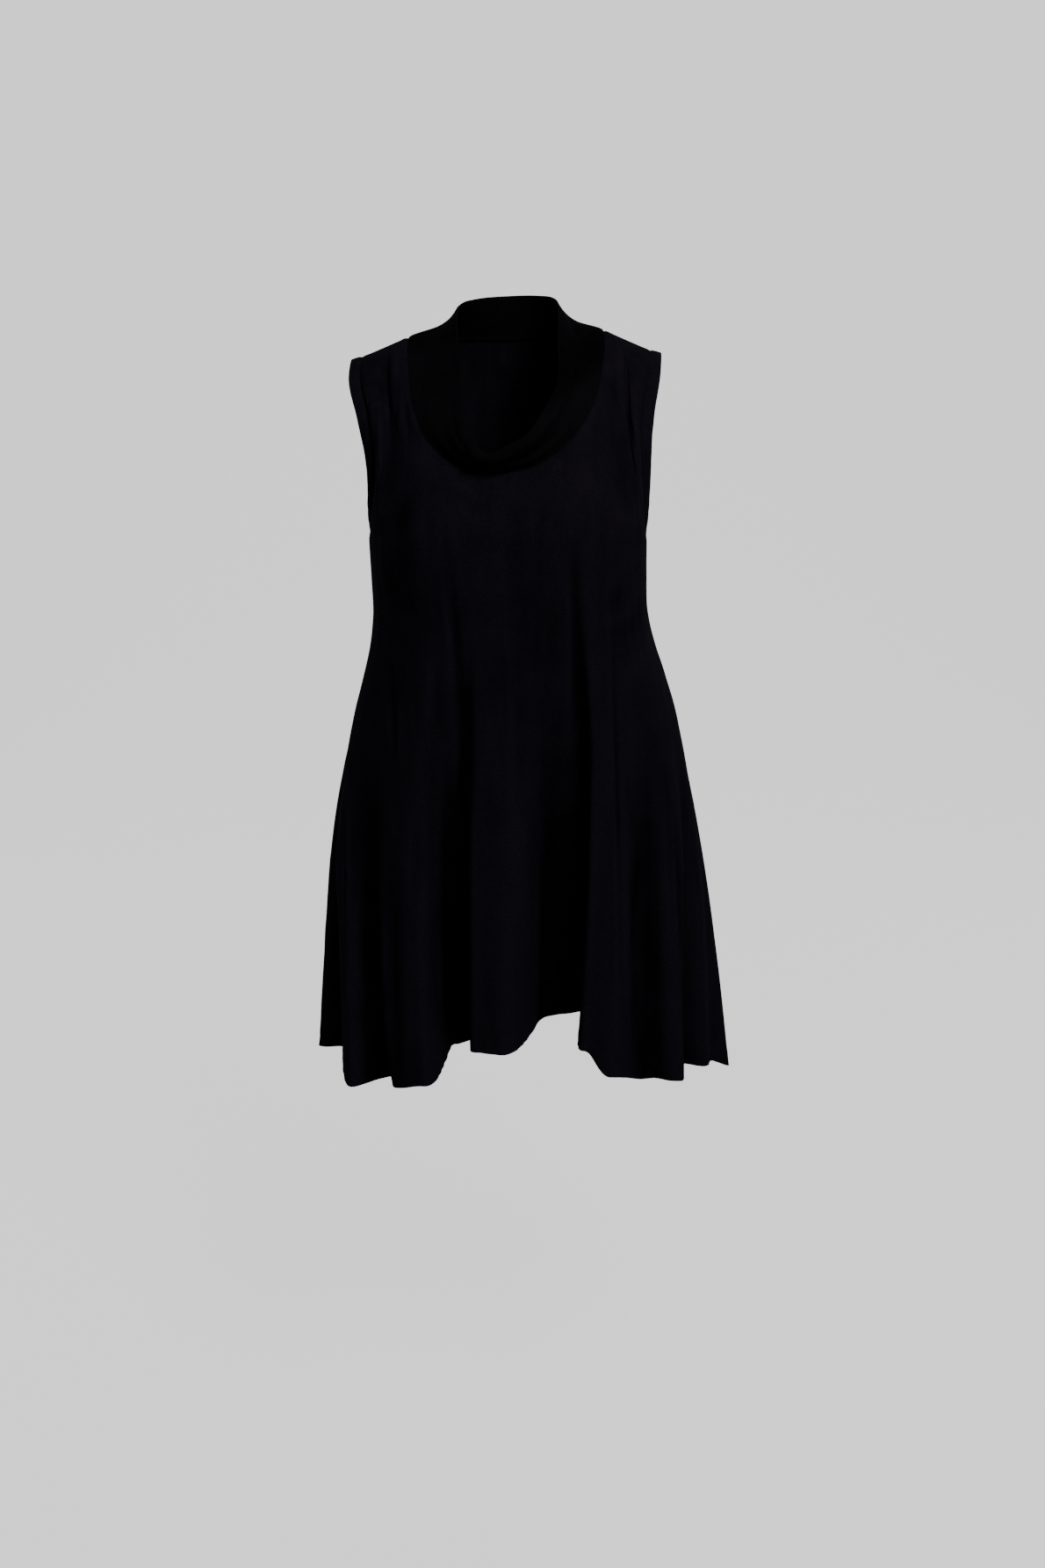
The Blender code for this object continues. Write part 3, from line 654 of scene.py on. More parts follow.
def outward_normals(across, up, back):
    """Directions out of the cloth, from the slopes of the panel along its rows and columns."""
    across, up = np.broadcast_arrays(np.asarray(across, float), np.asarray(up, float))
    low, high = np.maximum(up - PROBE, -1), np.minimum(up + PROBE, 1)
    along = panel_point(across + PROBE, up, back) - panel_point(across - PROBE, up, back)
    rise = panel_point(across, high, back) - panel_point(across, low, back)
    return unit(np.cross(along, rise)) * (-1 if back else 1)


# Fine form of the cloth


def smooth(value):
    """0 to 1 with soft ends."""
    value = np.clip(value, 0, 1)
    return value**2 * (3 - 2 * value)


def groove(away, width):
    """1 at the middle of a groove, and nearly 0 at twice its width."""
    return np.exp(-((away / width) ** 2))


def bell(away, spread):
    """1 in the middle and nearly 0 at three spreads from it."""
    return np.exp(-0.5 * (away / spread) ** 2)


def wander(u, v, seed):
    """Smooth seeded noise between about -1 and 1 over a plane."""
    rng = np.random.default_rng(seed)
    lattice = rng.uniform(-1, 1, (64, 64))
    u, v = np.mod(u, 64), np.mod(v, 64)
    iu, iv = np.floor(u).astype(int), np.floor(v).astype(int)
    fu, fv = smooth(u - iu), smooth(v - iv)
    nu, nv = (iu + 1) % 64, (iv + 1) % 64
    iu, iv = iu % 64, iv % 64
    low = lattice[iu, iv] * (1 - fu) + lattice[nu, iv] * fu
    high = lattice[iu, nv] * (1 - fu) + lattice[nu, nv] * fu
    return low * (1 - fv) + high * fv


def crease_depth(points, creases):
    """How deep the creases lie at each point of a panel, from its x and z."""
    x, z = points[..., 0], points[..., 2]
    depth = np.zeros_like(x)
    for start_x, start_z, end_x, end_z, deep, width, bow in creases:
        run = np.array([end_x - start_x, end_z - start_z])
        length = np.hypot(*run)
        run = run / length
        t = ((x - start_x) * run[0] + (z - start_z) * run[1]) / length
        off = (x - start_x) * run[1] - (z - start_z) * run[0]
        off = off - bow * 4 * np.clip(t, 0, 1) * (1 - np.clip(t, 0, 1))
        ends = smooth(t / CREASE_START) * smooth((1 - t) / CREASE_END)
        widened = width * (0.8 + 0.9 * np.abs(t - 0.35))
        shoulder = CREASE_SHOULDER * bell(off - SHOULDER_AWAY * widened, widened)
        depth += deep * ends * (bell(off, widened) - shoulder)
    return depth


def arc_lengths(points, axis):
    """Distance along the rows or columns of a grid, from its first point."""
    steps = np.linalg.norm(np.diff(points, axis=axis), axis=-1)
    pad = [(0, 0), (0, 0)]
    pad[axis] = (1, 0)
    return np.pad(np.cumsum(steps, axis=axis), pad)


def grid_directions(points, closed):
    """Directions out of a grid of rows, from its own points."""
    if closed:
        along = np.roll(points, -1, axis=1) - np.roll(points, 1, axis=1)
    else:
        along = np.gradient(points, axis=1)
    return unit(np.cross(along, np.gradient(points, axis=0)))


def standing(points, normal, columns, closed):
    """How far each point stands proud of its neighbours in its row: a fold's ridge, or less than 0."""
    reach = np.arange(-3 * columns, 3 * columns + 1)
    weights = bell(reach, columns)
    edge = [(0, 0), (3 * columns, 3 * columns), (0, 0)]
    if closed:
        padded = np.pad(points, edge, mode="wrap")
    else:
        padded = np.pad(points, edge, mode="reflect", reflect_type="odd")
    count = points.shape[1]
    level = sum(w * padded[:, i : i + count] for i, w in enumerate(weights)) / weights.sum()
    return ((points - level) * normal).sum(axis=-1)


def light_on(stand):
    """Painted light and shade: how grey the black is, most on ridges, less where the cloth is flat,
    least in the hollows.
    """
    hollow, ridge = smooth(1 + stand / HOLLOW_DEPTH), smooth(stand / RIDGE_HEIGHT)
    return FLAT_LIGHT * hollow + (1 - FLAT_LIGHT) * ridge


def link_piece(name, mesh):
    """Links a mesh to the scene as one piece and turns its faces outward."""
    piece = bpy.data.objects.new(name, mesh)
    bpy.context.scene.collection.objects.link(piece)
    bpy.ops.object.select_all(action="DESELECT")
    piece.select_set(True)
    bpy.context.view_layer.objects.active = piece
    bpy.ops.object.mode_set(mode="EDIT")
    bpy.ops.mesh.select_all(action="SELECT")
    bpy.ops.mesh.normals_make_consistent(inside=False)
    bpy.ops.object.mode_set(mode="OBJECT")
    return piece


def cloth_mesh(name, layers, uvs, lit, closed):
    """A closed shell from a stack of rows that runs out over the cloth and back inside it.

    Layers is a grid of points whose last row joins its first. Closed joins the last column too;
    otherwise the two ends get a rim. Lit, painted light and shade from 0 in a fold's hollow to 1 on its
    ridge, goes to the colour.
    """
    rows, columns = layers.shape[:2]
    index = np.arange(rows * columns).reshape(rows, columns)
    steps = columns if closed else columns - 1
    a = index[:, :steps]
    b = np.roll(index, -1, axis=1)[:, :steps]
    c, d = np.roll(b, -1, axis=0), np.roll(a, -1, axis=0)
    faces = np.stack([a, b, c, d], axis=-1).reshape(-1, 4)
    if not closed:
        half = rows // 2
        for column, turn in ((0, -1), (columns - 1, 1)):
            front = index[:half, column]
            behind = index[::-1, column][:half]
            rim = np.stack([front[:-1], behind[:-1], behind[1:], front[1:]], axis=-1)
            faces = np.concatenate([faces, rim[:, ::turn]])
    mesh = bpy.data.meshes.new(name)
    mesh.from_pydata((layers.reshape(-1, 3) * MM).tolist(), [], faces.tolist())
    if not mesh.polygons:
        raise RuntimeError(name + " has no faces")
    layer = mesh.uv_layers.new(name="cloth")
    corners = np.zeros(len(mesh.loops), np.int32)
    mesh.loops.foreach_get("vertex_index", corners)
    layer.data.foreach_set("uv", uvs.reshape(-1, 2)[corners].astype(np.float32).ravel())
    # The ridge attribute carries the painted light and shade to the colour
    ridges = mesh.attributes.new("ridge", "FLOAT", "POINT")
    ridges.data.foreach_set("value", lit.astype(np.float32).ravel())
    piece = link_piece(name, mesh)
    bpy.ops.object.shade_smooth_by_angle(angle=math.radians(SHARPEST_CURVE))
    return piece


def panel_across():
    """The columns of a panel, from the left side to the right."""
    neck = NECK_ANGLE / 90.0
    half = np.concatenate([
        np.linspace(0, neck, NECK_COLS + 1),
        np.linspace(neck, 1, SHOULDER_COLS + 1)[1:],
    ])
    return np.concatenate([-half[:0:-1], half])


def panel_surface(back, cloth):
    """The outer and inner points of a panel with its creases, seams and hem, its pattern places and its
    painted light and shade.
    """
    risen = np.linspace(0, 1, BODICE_ROWS + 1)
    up = np.concatenate([np.linspace(-1, 0, SKIRT_ROWS + 1), risen[1:]])
    across, up = np.meshgrid(panel_across(), up)
    outer = panel_point(across, up, back)
    normal = outward_normals(across, up, back)
    sides = [0, len(across[0]) - 1]
    other = outward_normals(across[:, sides], np.minimum(up, 0)[:, sides], not back)
    for column, side in ((0, -1.0), (-1, 1.0)):
        below = slice(0, SKIRT_ROWS + 1)
        normal[below, column] = unit(normal[below, column] + other[below, column])
        normal[SKIRT_ROWS + 1 :, column] = armhole_seam(2.0 - risen if back else risen, side)[2][1:]
    normal[-1] = top_edge(across[-1], back)[1]
    run, rise = arc_lengths(outer, 1), arc_lengths(outer, 0)
    from_side = np.minimum(run, run[:, -1:] - run)
    from_hem, from_top = rise, rise[-1:] - rise
    calm = smooth((from_side - CALM_SEAM) / CALM_SIDE) * smooth((from_top - CALM_SEAM) / CALM_TOP)
    creases = BACK_CREASES if back else FRONT_CREASES
    sink = crease_depth(outer, creases) * calm * cloth.crease_strength
    # Painted shade in the creases, and painted light on their low ridges
    shade = 1 - CREASE_SHADE * np.clip(sink, -MOST_SHADE_HEIGHT, MOST_SHADE_DEPTH)
    u, v = run - run[:, len(run[0]) // 2, None], rise
    seed = 11 if back else 5
    drape = sum(
        deep * wander(u / width + shift_u, v / length + shift_v, seed + i)
        for i, (deep, width, length, shift_u, shift_v) in enumerate(DRAPE)
    )
    grown = smooth((v - DRAPE_FROM) / DRAPE_RISE)
    sink = sink + drape * calm * (DRAPE_LOW + DRAPE_GAIN * grown) * cloth.crease_strength
    hem_depth = cloth.hem_depth / MM
    drift = 1.3 * wander(u / HEM_WAVE_DRIFT, 0 * v, seed + 2) * 6.0
    waves = np.sin(u / HEM_WAVE_LENGTH + drift) * groove(from_hem, HEM_WAVE_HEIGHT * hem_depth)
    waves = waves * smooth(from_side / HEM_WAVE_SIDE)
    sink = sink + HEM_WAVE * waves
    sink = sink - HEM_STEP * (1 - smooth((from_hem - hem_depth + HEM_TURN) / HEM_TURN))
    sink = sink + HEM_STEP * groove(from_hem - hem_depth, HEM_GROOVE)
    dip = cloth.seam_dip / MM
    for away in (from_side, from_top):
        pucker = SEAM_PUCKER * dip * groove(away - PUCKER_AWAY, PUCKER_WIDTH)
        sink = sink + dip * groove(away, SEAM_WIDTH) - pucker
    outer = outer - normal * sink[..., None]
    # Painted light and shade, from how far the cloth stands out of its neighbours
    near, far = (standing(outer, normal, columns, False) for columns in (NEAR_COLUMNS, FAR_COLUMNS))
    lit = np.minimum(light_on(0.5 * near + 0.5 * far) * shade, 1)
    shown = unit(normal + 0.6 * grid_directions(outer, False) * (-1 if back else 1))
    shown[:, [0, -1]], shown[-1] = normal[:, [0, -1]], normal[-1]
    doubled = 1 - smooth(from_hem - hem_depth + 1.0)
    thick = cloth.thickness / MM * (1 + HEM_DOUBLING * doubled)
    inner = outer - shown * thick[..., None]
    return outer, inner, np.stack([u, v], axis=-1) * MM, lit


def make_panel(name, back, cloth):
    """One panel of the dress as a closed shell of jersey."""
    outer, inner, uv, lit = panel_surface(back, cloth)
    layers = np.concatenate([outer, inner[::-1]])
    uvs = np.concatenate([uv, uv[::-1]])
    # The inner face gets the even painted light of flat cloth
    lit = np.concatenate([lit, np.full_like(lit, FLAT_LIGHT)])
    return cloth_mesh(name, layers, uvs, lit, closed=False)


def outer_layer(name, columns):
    """The outer points of a finished panel, row by row from its hem, in millimetres."""
    mesh = bpy.data.objects[name].data
    points = np.empty(len(mesh.vertices) * 3, np.float32)
    mesh.vertices.foreach_get("co", points)
    points = points.reshape(-1, columns, 3).astype(float) / MM
    return points[: len(points) // 2]


def collar_surface():
    """The collar's outer rings from its seam to its edge: their turns, points and outward ways."""
    turn = np.linspace(-180.0, 180.0, COLLAR_TURNS, endpoint=False)
    seam, way, out = neckline_seam(turn)
    edge_x, edge_y, edge_z, up, bow = spline(COLLAR[:, 0], COLLAR[:, 4:], turn, period=360.0).T
    edge = np.stack([edge_x, edge_y, edge_z], axis=-1)
    share = np.linspace(0, 1, COLLAR_ROWS + 1)[:, None, None]
    reach = np.linalg.norm(edge - seam, axis=-1, keepdims=True)
    rising = np.array([0.0, 0.0, 1.0]) * up[:, None] * reach
    points = hermite(seam, edge, way * reach, unit((edge - seam) + rising) * reach, share)
    normal = grid_directions(points, True)
    fade = np.clip(1 - (turn / COLLAR_RIPPLE_TURN) ** 2, 0, 1)[None, :, None]
    wave = np.sin(2 * np.pi * COLLAR_RIPPLES * share) * share**0.5 * COLLAR_RIPPLE * fade
    points = points + normal * (wave + bow[:, None] * np.sin(np.pi * share) ** 2)
    normal = grid_directions(points, True)
    normal[0] = out
    return turn, points, normal


def collar_creases(turn, points, cloth):
    """How deep the collar's creases lie."""
    up = arc_lengths(points, 0)
    steps = np.linalg.norm(points[0] - np.roll(points[0], 1, axis=0), axis=-1)
    length = steps.mean() * len(turn) / 360
    share = up / up[-1]
    depth = np.zeros_like(up)
    for start, low, end, high, deep, width in COLLAR_CREASES:
        t = (turn[None] - start) / (end - start)
        middle = low + (high - low) * smooth(t)
        slant = np.hypot((high - low) * up[-1].mean(), (end - start) * length)
        off = (share - middle) * up[-1] * abs(end - start) * length / slant
        ends = smooth(t / 0.3) * smooth((1 - t) / 0.4) * (t > 0) * (t < 1)
        depth += deep * ends * bell(off, width)
    return depth * smooth(up / 6.0) * cloth.crease_strength


def folded_layers(outer, inner, thick, swell):
    """The outer rows, a rounded edge swollen by that share, and the inner rows, as one stack."""
    ahead = unit(outer[-1] - outer[-2])
    middle = (outer[-1] + inner[-1]) / 2
    bend = np.linspace(0, np.pi, EDGE_ROWS + 2)[1:-1, None, None]
    rim = middle + (outer[-1] - middle) * np.cos(bend) + ahead * np.sin(bend) * thick / 2 * swell
    return np.concatenate([outer, rim, inner[::-1]])


def folded_places(run, up):
    """The pattern places of such a stack, whose edge rows keep those of the last outer row."""
    uv = np.stack([run, up], axis=-1) * MM
    return np.concatenate([uv, np.repeat(uv[-1:], EDGE_ROWS, axis=0), uv[::-1]])


def make_collar(cloth):
    """The doubled collar band as one closed shell with a rounded folded edge."""
    turn, outer, normal = collar_surface()
    thick = cloth.collar_thickness / MM
    up = arc_lengths(outer, 0)
    sink = collar_creases(turn, outer, cloth)
    deep, turns, tall = COLLAR_DRAPE
    sink = sink + deep * wander(turn[None] / turns + 20, up / tall, 31) * smooth(up / 8.0)
    sink = sink + cloth.seam_dip / MM * groove(up, COLLAR_SEAM_WIDTH)
    outer = outer - normal * sink[..., None]
    layers = folded_layers(outer, outer - normal * thick, thick, COLLAR_EDGE_SWELL)
    run = arc_lengths(outer, 1)
    uvs = folded_places(np.broadcast_to(run[len(run) // 2], run.shape), up)
    # Painted light and shade of the collar's folds
    lit = light_on(standing(layers, grid_directions(layers, True), RING_COLUMNS, True))
    # Painted shade on the upper part of the collar, reaching lower on its right side, most of all
    # towards its folded edge
    inward = np.linspace(0, 1, len(outer))[:, None] * SHADE_LOWER_INSIDE
    height = outer[..., 2] + np.where(turn > 0, SHADE_BELOW_RIGHT + inward, SHADE_BELOW_LEFT)
    shade = smooth(height / SHADE_FADE) * smooth((SHADE_TURN - np.abs(turn)) / SHADE_TURN_FADE)
    lit[: len(outer)] *= 1 - COLLAR_SHADE * shade
    return cloth_mesh("cowl_collar_jersey", layers, uvs, lit, closed=True)


def band_surface(side):
    """An armhole band's outer rings from its seam to its open edge: points and outward ways."""
    share = np.arange(BAND_TURNS) * 2.0 / BAND_TURNS
    seam, across, out = armhole_seam(share, side)
    rows = np.linspace(0, ARMHOLE_BAND_WIDTH, BAND_ROWS + 1)[:, None, None]
    points = seam + across * rows
    return points, np.broadcast_to(out, points.shape)


def make_band(name, side, cloth):
    """One armhole band, folded round the edge, as a closed shell."""
    outer, out = band_surface(side)
    thick = cloth.band_thickness / MM
    up = arc_lengths(outer, 0)
    round_it = np.linspace(0, 1, BAND_TURNS, endpoint=False)[None] * BAND_WAVES
    seed = 41 if side < 0 else 43
    sink = BAND_DRAPE * wander(round_it + 3, up / BAND_WAVE_HEIGHT, seed) * smooth(up / 6.0)
    sink = sink - BAND_ROUND * np.sin(np.pi * up / ARMHOLE_BAND_WIDTH) ** 2
    sink = sink + cloth.seam_dip / MM * groove(up, BAND_SEAM_WIDTH)
    outer = outer - out * sink[..., None]
    layers = folded_layers(outer, outer - out * thick, thick, 1.0)
    uvs = folded_places(arc_lengths(outer, 1), up)
    return cloth_mesh(name, layers, uvs, np.full(layers.shape[:2], BAND_LIGHT), closed=True)


# Materials, whose pattern scales are repeats in a metre

FUZZ = 900.0  # a tuft of raised fibres in 1.1 mm
PATCHES = 19.0  # a patch of greyer cloth in 53 mm
STREAKS = 75.0  # a streak of the dye in 13 mm, and six times as long down the cloth
STREAK_LENGTH = 0.16
LOOP_DEPTH = 0.00025  # relief of the knit's loops, in metres
JERSEY_SPECULAR = 0.004
PLIES = 1900.0  # a ply of the thread in about 0.3 mm
PLY_DEPTH = 0.0001
TOOTH = 90.0  # a grain of the paper in 11 mm
TOOTH_DEPTH = 0.0005
PAPER_SPILL = 0.35  # share of the paper's glow that reaches the dress


def node(tree, kind, inputs=(), out=0, **settings):
    """Adds a shader node with its settings and returns one of its outputs.

    Each of its inputs, in order or by name, is a number to set or an output to link.
    """
    made = tree.nodes.new("ShaderNode" + kind)
    for key, value in settings.items():
        setattr(made, key, value)
    for key, value in inputs.items() if isinstance(inputs, dict) else enumerate(inputs):
        if isinstance(value, bpy.types.NodeSocket):
            tree.links.new(value, made.inputs[key])
        elif value is not None:
            made.inputs[key].default_value = value
    return made.outputs[out]


def new_material(name):
    """An empty node material with its shader."""
    material = bpy.data.materials.new(name)
    material.use_nodes = True
    return material, material.node_tree, material.node_tree.nodes["Principled BSDF"]


def jersey_material(name, hollow, face, fuzz_and_highlight, wale, roughness, relief):
    """Viscose jersey, knitted and dyed black: a deep, slightly violet black, all but matt.

    Light and shade of its folds are painted into the colour: painted shade keeps the full black in the
    hollows, and a painted highlight makes the ridges a little greyer where the fuzz stands. The face is
    mottled at random. The columns of V stitches are drawn at twice their real spacing of 0.8 mm, which
    is too fine to show.
    """
    material, tree, shader = new_material(name)
    uv = node(tree, "UVMap", uv_map="cloth")
    place = node(tree, "TexCoord", out="Object")
    across = node(tree, "SeparateXYZ", [uv], out=0)
    upward = node(tree, "SeparateXYZ", [uv], out=1)
    wales = node(tree, "Math", [across, wale], operation="DIVIDE")
    courses = node(tree, "Math", [upward, 0.85 * wale], operation="DIVIDE")
    leg = node(tree, "Math", [wales, 0.5], operation="PINGPONG")
    slant = node(tree, "Math", [leg, courses], operation="SUBTRACT")
    turned_slant = node(tree, "Math", [slant, 2 * math.pi], operation="MULTIPLY")
    turned_leg = node(tree, "Math", [leg, 2 * math.pi], operation="MULTIPLY")
    loops = node(tree, "Math", [turned_slant], operation="SINE")
    legs = node(tree, "Math", [turned_leg], operation="SINE")
    knit = node(tree, "Math", [loops, 0.5, legs], operation="MULTIPLY_ADD")
    fuzz = node(tree, "TexNoise", {"Vector": place, "Scale": FUZZ, "Detail": 3.0})
    patches = node(tree, "TexNoise", {"Vector": place, "Scale": PATCHES, "Detail": 4.0})
    streaks = node(tree, "Mapping", {"Vector": place, "Scale": (1.0, 1.0, STREAK_LENGTH)})
    streaks = node(tree, "TexNoise", {"Vector": streaks, "Scale": STREAKS, "Detail": 3.0})
    height = node(tree, "Math", [fuzz, 0.9, knit], operation="MULTIPLY_ADD")
    bump = node(tree, "Bump", {"Height": height, "Strength": relief, "Distance": LOOP_DEPTH})
    # Painted light and shade of the folds, with a random mottle added
    ridge = node(tree, "Attribute", attribute_name="ridge", out="Fac")
    mottle = node(tree, "Math", [patches, streaks], operation="ADD")
    mottle = node(tree, "Math", [mottle, 0.7, -0.7], operation="MULTIPLY_ADD")
    share = node(tree, "Math", [ridge, mottle], operation="ADD", use_clamp=True)
    fibre = node(tree, "MapRange", [fuzz, 0.35, 0.65, 0.0, 1.0])
    # Painted shade in the hollows, the cloth's colour where the painted light is full
    colour = node(tree, "Mix", {0: share, 6: hollow, 7: face}, out=2, data_type="RGBA")
    # Painted highlight on the ridges, where the fuzz stands
    raised = node(tree, "Math", [fibre, share], operation="MULTIPLY")
    colour = node(tree, "Mix", {0: raised, 6: colour, 7: fuzz_and_highlight}, out=2, data_type="RGBA")
    rough = node(tree, "MapRange", [streaks, 0.3, 0.7, roughness - 0.06, roughness + 0.06])
    tree.links.new(colour, shader.inputs["Base Color"])
    tree.links.new(rough, shader.inputs["Roughness"])
    tree.links.new(bump, shader.inputs["Normal"])
    shader.inputs["IOR"].default_value = 1.46
    shader.inputs["Specular IOR Level"].default_value = JERSEY_SPECULAR
    shader.inputs["Sheen Weight"].default_value = 0.002
    shader.inputs["Sheen Roughness"].default_value = 0.4
    shader.inputs["Sheen Tint"].default_value = (*linear("#b9a8e6"), 1.0)
    return material


def thread_material(stitch):
    """Polyester sewing thread, spun and twisted: a little brighter than the knit, in fine plies."""
    material, tree, shader = new_material("black_polyester_thread")
    place = node(tree, "TexCoord", out="Object")
    plies = {"Vector": place, "Scale": PLIES, "Distortion": 1.5}
    plies = node(tree, "TexWave", plies, bands_direction="DIAGONAL")
    between, crest = ((*(share * c for c in stitch.colour), 1.0) for share in (0.55, 1.0))
    colour = node(tree, "Mix", {0: plies, 6: between, 7: crest}, out=2, data_type="RGBA")
    bump = node(tree, "Bump", {"Height": plies, "Strength": 0.4, "Distance": PLY_DEPTH})
    tree.links.new(colour, shader.inputs["Base Color"])
    tree.links.new(bump, shader.inputs["Normal"])
    shader.inputs["Roughness"].default_value = 0.8
    shader.inputs["IOR"].default_value = 1.57
    shader.inputs["Specular IOR Level"].default_value = 0.03
    return material


def paper_material(stage):
    """Seamless studio paper: an even pale grey with the faintest tooth.

    It glows for the camera, and only a share of that glow falls back on the dress.
    """
    material, tree, shader = new_material("seamless_studio_paper")
    place = node(tree, "TexCoord", out="Object")
    tooth = node(tree, "TexNoise", {"Vector": place, "Scale": TOOTH, "Detail": 3.0})
    deeper, paler = ((*(share * c for c in stage.floor_colour), 1.0) for share in (0.92, 1.0))
    tone = node(tree, "Mix", {0: tooth, 6: deeper, 7: paler}, out=2, data_type="RGBA")
    seen = node(tree, "LightPath", out="Is Camera Ray")
    low, high = PAPER_SPILL * stage.paper_glow, stage.paper_glow
    glow = node(tree, "MapRange", [seen, 0.0, 1.0, low, high])
    bump = node(tree, "Bump", {"Height": tooth, "Strength": 0.05, "Distance": TOOTH_DEPTH})
    tree.links.new(tone, shader.inputs["Base Color"])
    tree.links.new(bump, shader.inputs["Normal"])
    shader.inputs["Roughness"].default_value = 0.95
    shader.inputs["Specular IOR Level"].default_value = 0.05
    shader.inputs["Emission Color"].default_value = (1.0, 1.0, 1.0, 1.0)
    tree.links.new(glow, shader.inputs["Emission Strength"])
    return material


def jersey_named(name, colours, *finish):
    """One of the two jerseys, made the first time: its painted shade colour in hollows, its colour on
    the face, and its colour on ridges, a painted highlight.
    """
    colours = [(*colour, 1.0) for colour in colours]
    return bpy.data.materials.get(name) or jersey_material(name, *colours, *finish)


def single_jersey(cloth):
    """The knit of the front, the back and the bands, with its face out."""
    colours = (cloth.painted_shade_colour, cloth.face_colour, cloth.fuzz_and_highlight_colour)
    return jersey_named("black_single_jersey", colours, cloth.wale, 0.92, 0.4)


def doubled_jersey(cloth):
    """The same knit folded double for the collar: denser, so blacker and less violet, and darker still
    by painted shade.
    """
    colours = (cloth.painted_shade_colour, cloth.doubled_colour_and_shade, cloth.doubled_colour_and_shade)
    return jersey_named("black_doubled_jersey", colours, cloth.wale, 0.93, 0.35)


# Operators


def declare(piece, node_name, material):
    """Gives a cloth piece its material, hangs it on the root body and hides the solid part it takes the
    place of.
    """
    piece.data.materials.append(material)
    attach(piece, "root")
    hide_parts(node_name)


class DRESS_OT_panels(bpy.types.Operator):
    """Makes the front and back of the dress from one layer of jersey each"""

    bl_idname = "dress.panels"
    bl_label = "Front and Back"

    def execute(self, context):
        cloth = context.scene.dress_cloth
        for view, back in (("front", False), ("back", True)):
            piece = make_panel(view + "_jersey", back, cloth)
            declare(
                piece, view + "_panel", single_jersey(cloth),
            )
        return {"FINISHED"}


class DRESS_OT_collar(bpy.types.Operator):
    """Makes the doubled cowl collar with its rounded, folded edge"""

    bl_idname = "dress.collar"
    bl_label = "Cowl Collar"

    def execute(self, context):
        cloth = context.scene.dress_cloth
        declare(
            make_collar(cloth), "cowl_collar", doubled_jersey(cloth),
        )
        return {"FINISHED"}


class DRESS_OT_armhole_bands(bpy.types.Operator):
    """Makes the band folded round each armhole"""

    bl_idname = "dress.armhole_bands"
    bl_label = "Armhole Bands"

    def execute(self, context):
        cloth = context.scene.dress_cloth
        for node_name, side in (("armhole_band_left", -1.0), ("armhole_band_right", 1.0)):
            declare(
                make_band(node_name + "_jersey", side, cloth), node_name,
                single_jersey(cloth),
            )
        return {"FINISHED"}


STITCH_HALF = 0.36  # half of what shows of a stitch, as a share of its length
STITCH_DIVE = 0.9  # how far its ends bend down, in thread thicknesses
NEEDLE_GAP = 3.4  # between the hem's two rows, in millimetres
BAND_ROW = 2.6  # from the armhole's seam to the band's row
HEM_LIFT = 0.00012  # how far the thread's middle lies above the cloth, in metres
BAND_LIFT = 0.0003


def pick_edges(shape, chosen):
    """Opens a shape for editing with only the edges picked whose two ends pass the test."""
    bpy.ops.object.mode_set(mode="EDIT")
    bpy.ops.mesh.select_mode(type="EDGE")
    bpy.ops.mesh.select_all(action="DESELECT")
    bpy.ops.object.mode_set(mode="OBJECT")
    for edge in shape.data.edges:
        edge.select = chosen(*(shape.data.vertices[v].co for v in edge.vertices))
    bpy.ops.object.mode_set(mode="EDIT")


def stitch_shape():
    """One stitch: a short capsule of thread whose ends bend down into the cloth."""
    bpy.ops.object.select_all(action="DESELECT")
    bpy.ops.mesh.primitive_cylinder_add(vertices=6, radius=0.5, depth=1.0, end_fill_type="TRIFAN")
    shape = bpy.context.object
    pick_edges(shape, lambda start, end: abs(start.z - end.z) > 0.5)
    bpy.ops.mesh.subdivide(number_cuts=3)
    bpy.ops.object.mode_set(mode="OBJECT")
    points = np.array([v.co for v in shape.data.vertices])
    along, width, height = points[:, 2], points[:, 0], points[:, 1]
    taper = np.sqrt(np.clip(1.15 - (2 * along) ** 2, 0.1, 1))
    dive = STITCH_DIVE * (2 * along) ** 4
    bent = np.stack([along, width * taper, height * taper - dive], axis=-1)
    faces = [tuple(face.vertices) for face in shape.data.polygons]
    bpy.data.objects.remove(shape, do_unlink=True)
    return bent, faces


def stitch_row(shape, line, normals, stitch, lift):
    """The points of a row of stitches along a line of points, stitch by stitch."""
    run = np.concatenate([[0], np.cumsum(np.linalg.norm(np.diff(line, axis=0), axis=1))])
    count = int(run[-1] / stitch.length)
    at = (np.arange(count) + 0.5) * run[-1] / count
    half = STITCH_HALF * stitch.length

    def along_line(values, where):
        return np.stack([np.interp(where, run, values[:, k]) for k in range(3)], axis=1)

    middle, normal = along_line(line, at), unit(along_line(normals, at))
    ahead = unit(along_line(line, at + half) - along_line(line, at - half))
    side = unit(np.cross(normal, ahead))
    normal = np.cross(ahead, side)
    sizes = shape * (2 * half, stitch.thread, stitch.thread)
    return (
        middle[:, None]
        + ahead[:, None] * sizes[None, :, :1]
        + side[:, None] * sizes[None, :, 1:2]
        + normal[:, None] * (sizes[None, :, 2:] + lift)
    )


def stitch_piece(name, rows, stitch, lift, material):
    """One object from rows of stitches, each given by its line and its outward directions."""
    shape, faces = stitch_shape()
    points = np.concatenate([stitch_row(shape, *row, stitch, lift) for row in rows])
    starts = range(0, len(points) * len(shape), len(shape))
    mesh = bpy.data.meshes.new(name)
    mesh.from_pydata(
        points.reshape(-1, 3).tolist(), [],
        [tuple(v + start for v in face) for start in starts for face in faces],
    )
    piece = link_piece(name, mesh)
    bpy.ops.object.shade_smooth()
    piece.data.materials.append(material)
    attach(piece, "root")


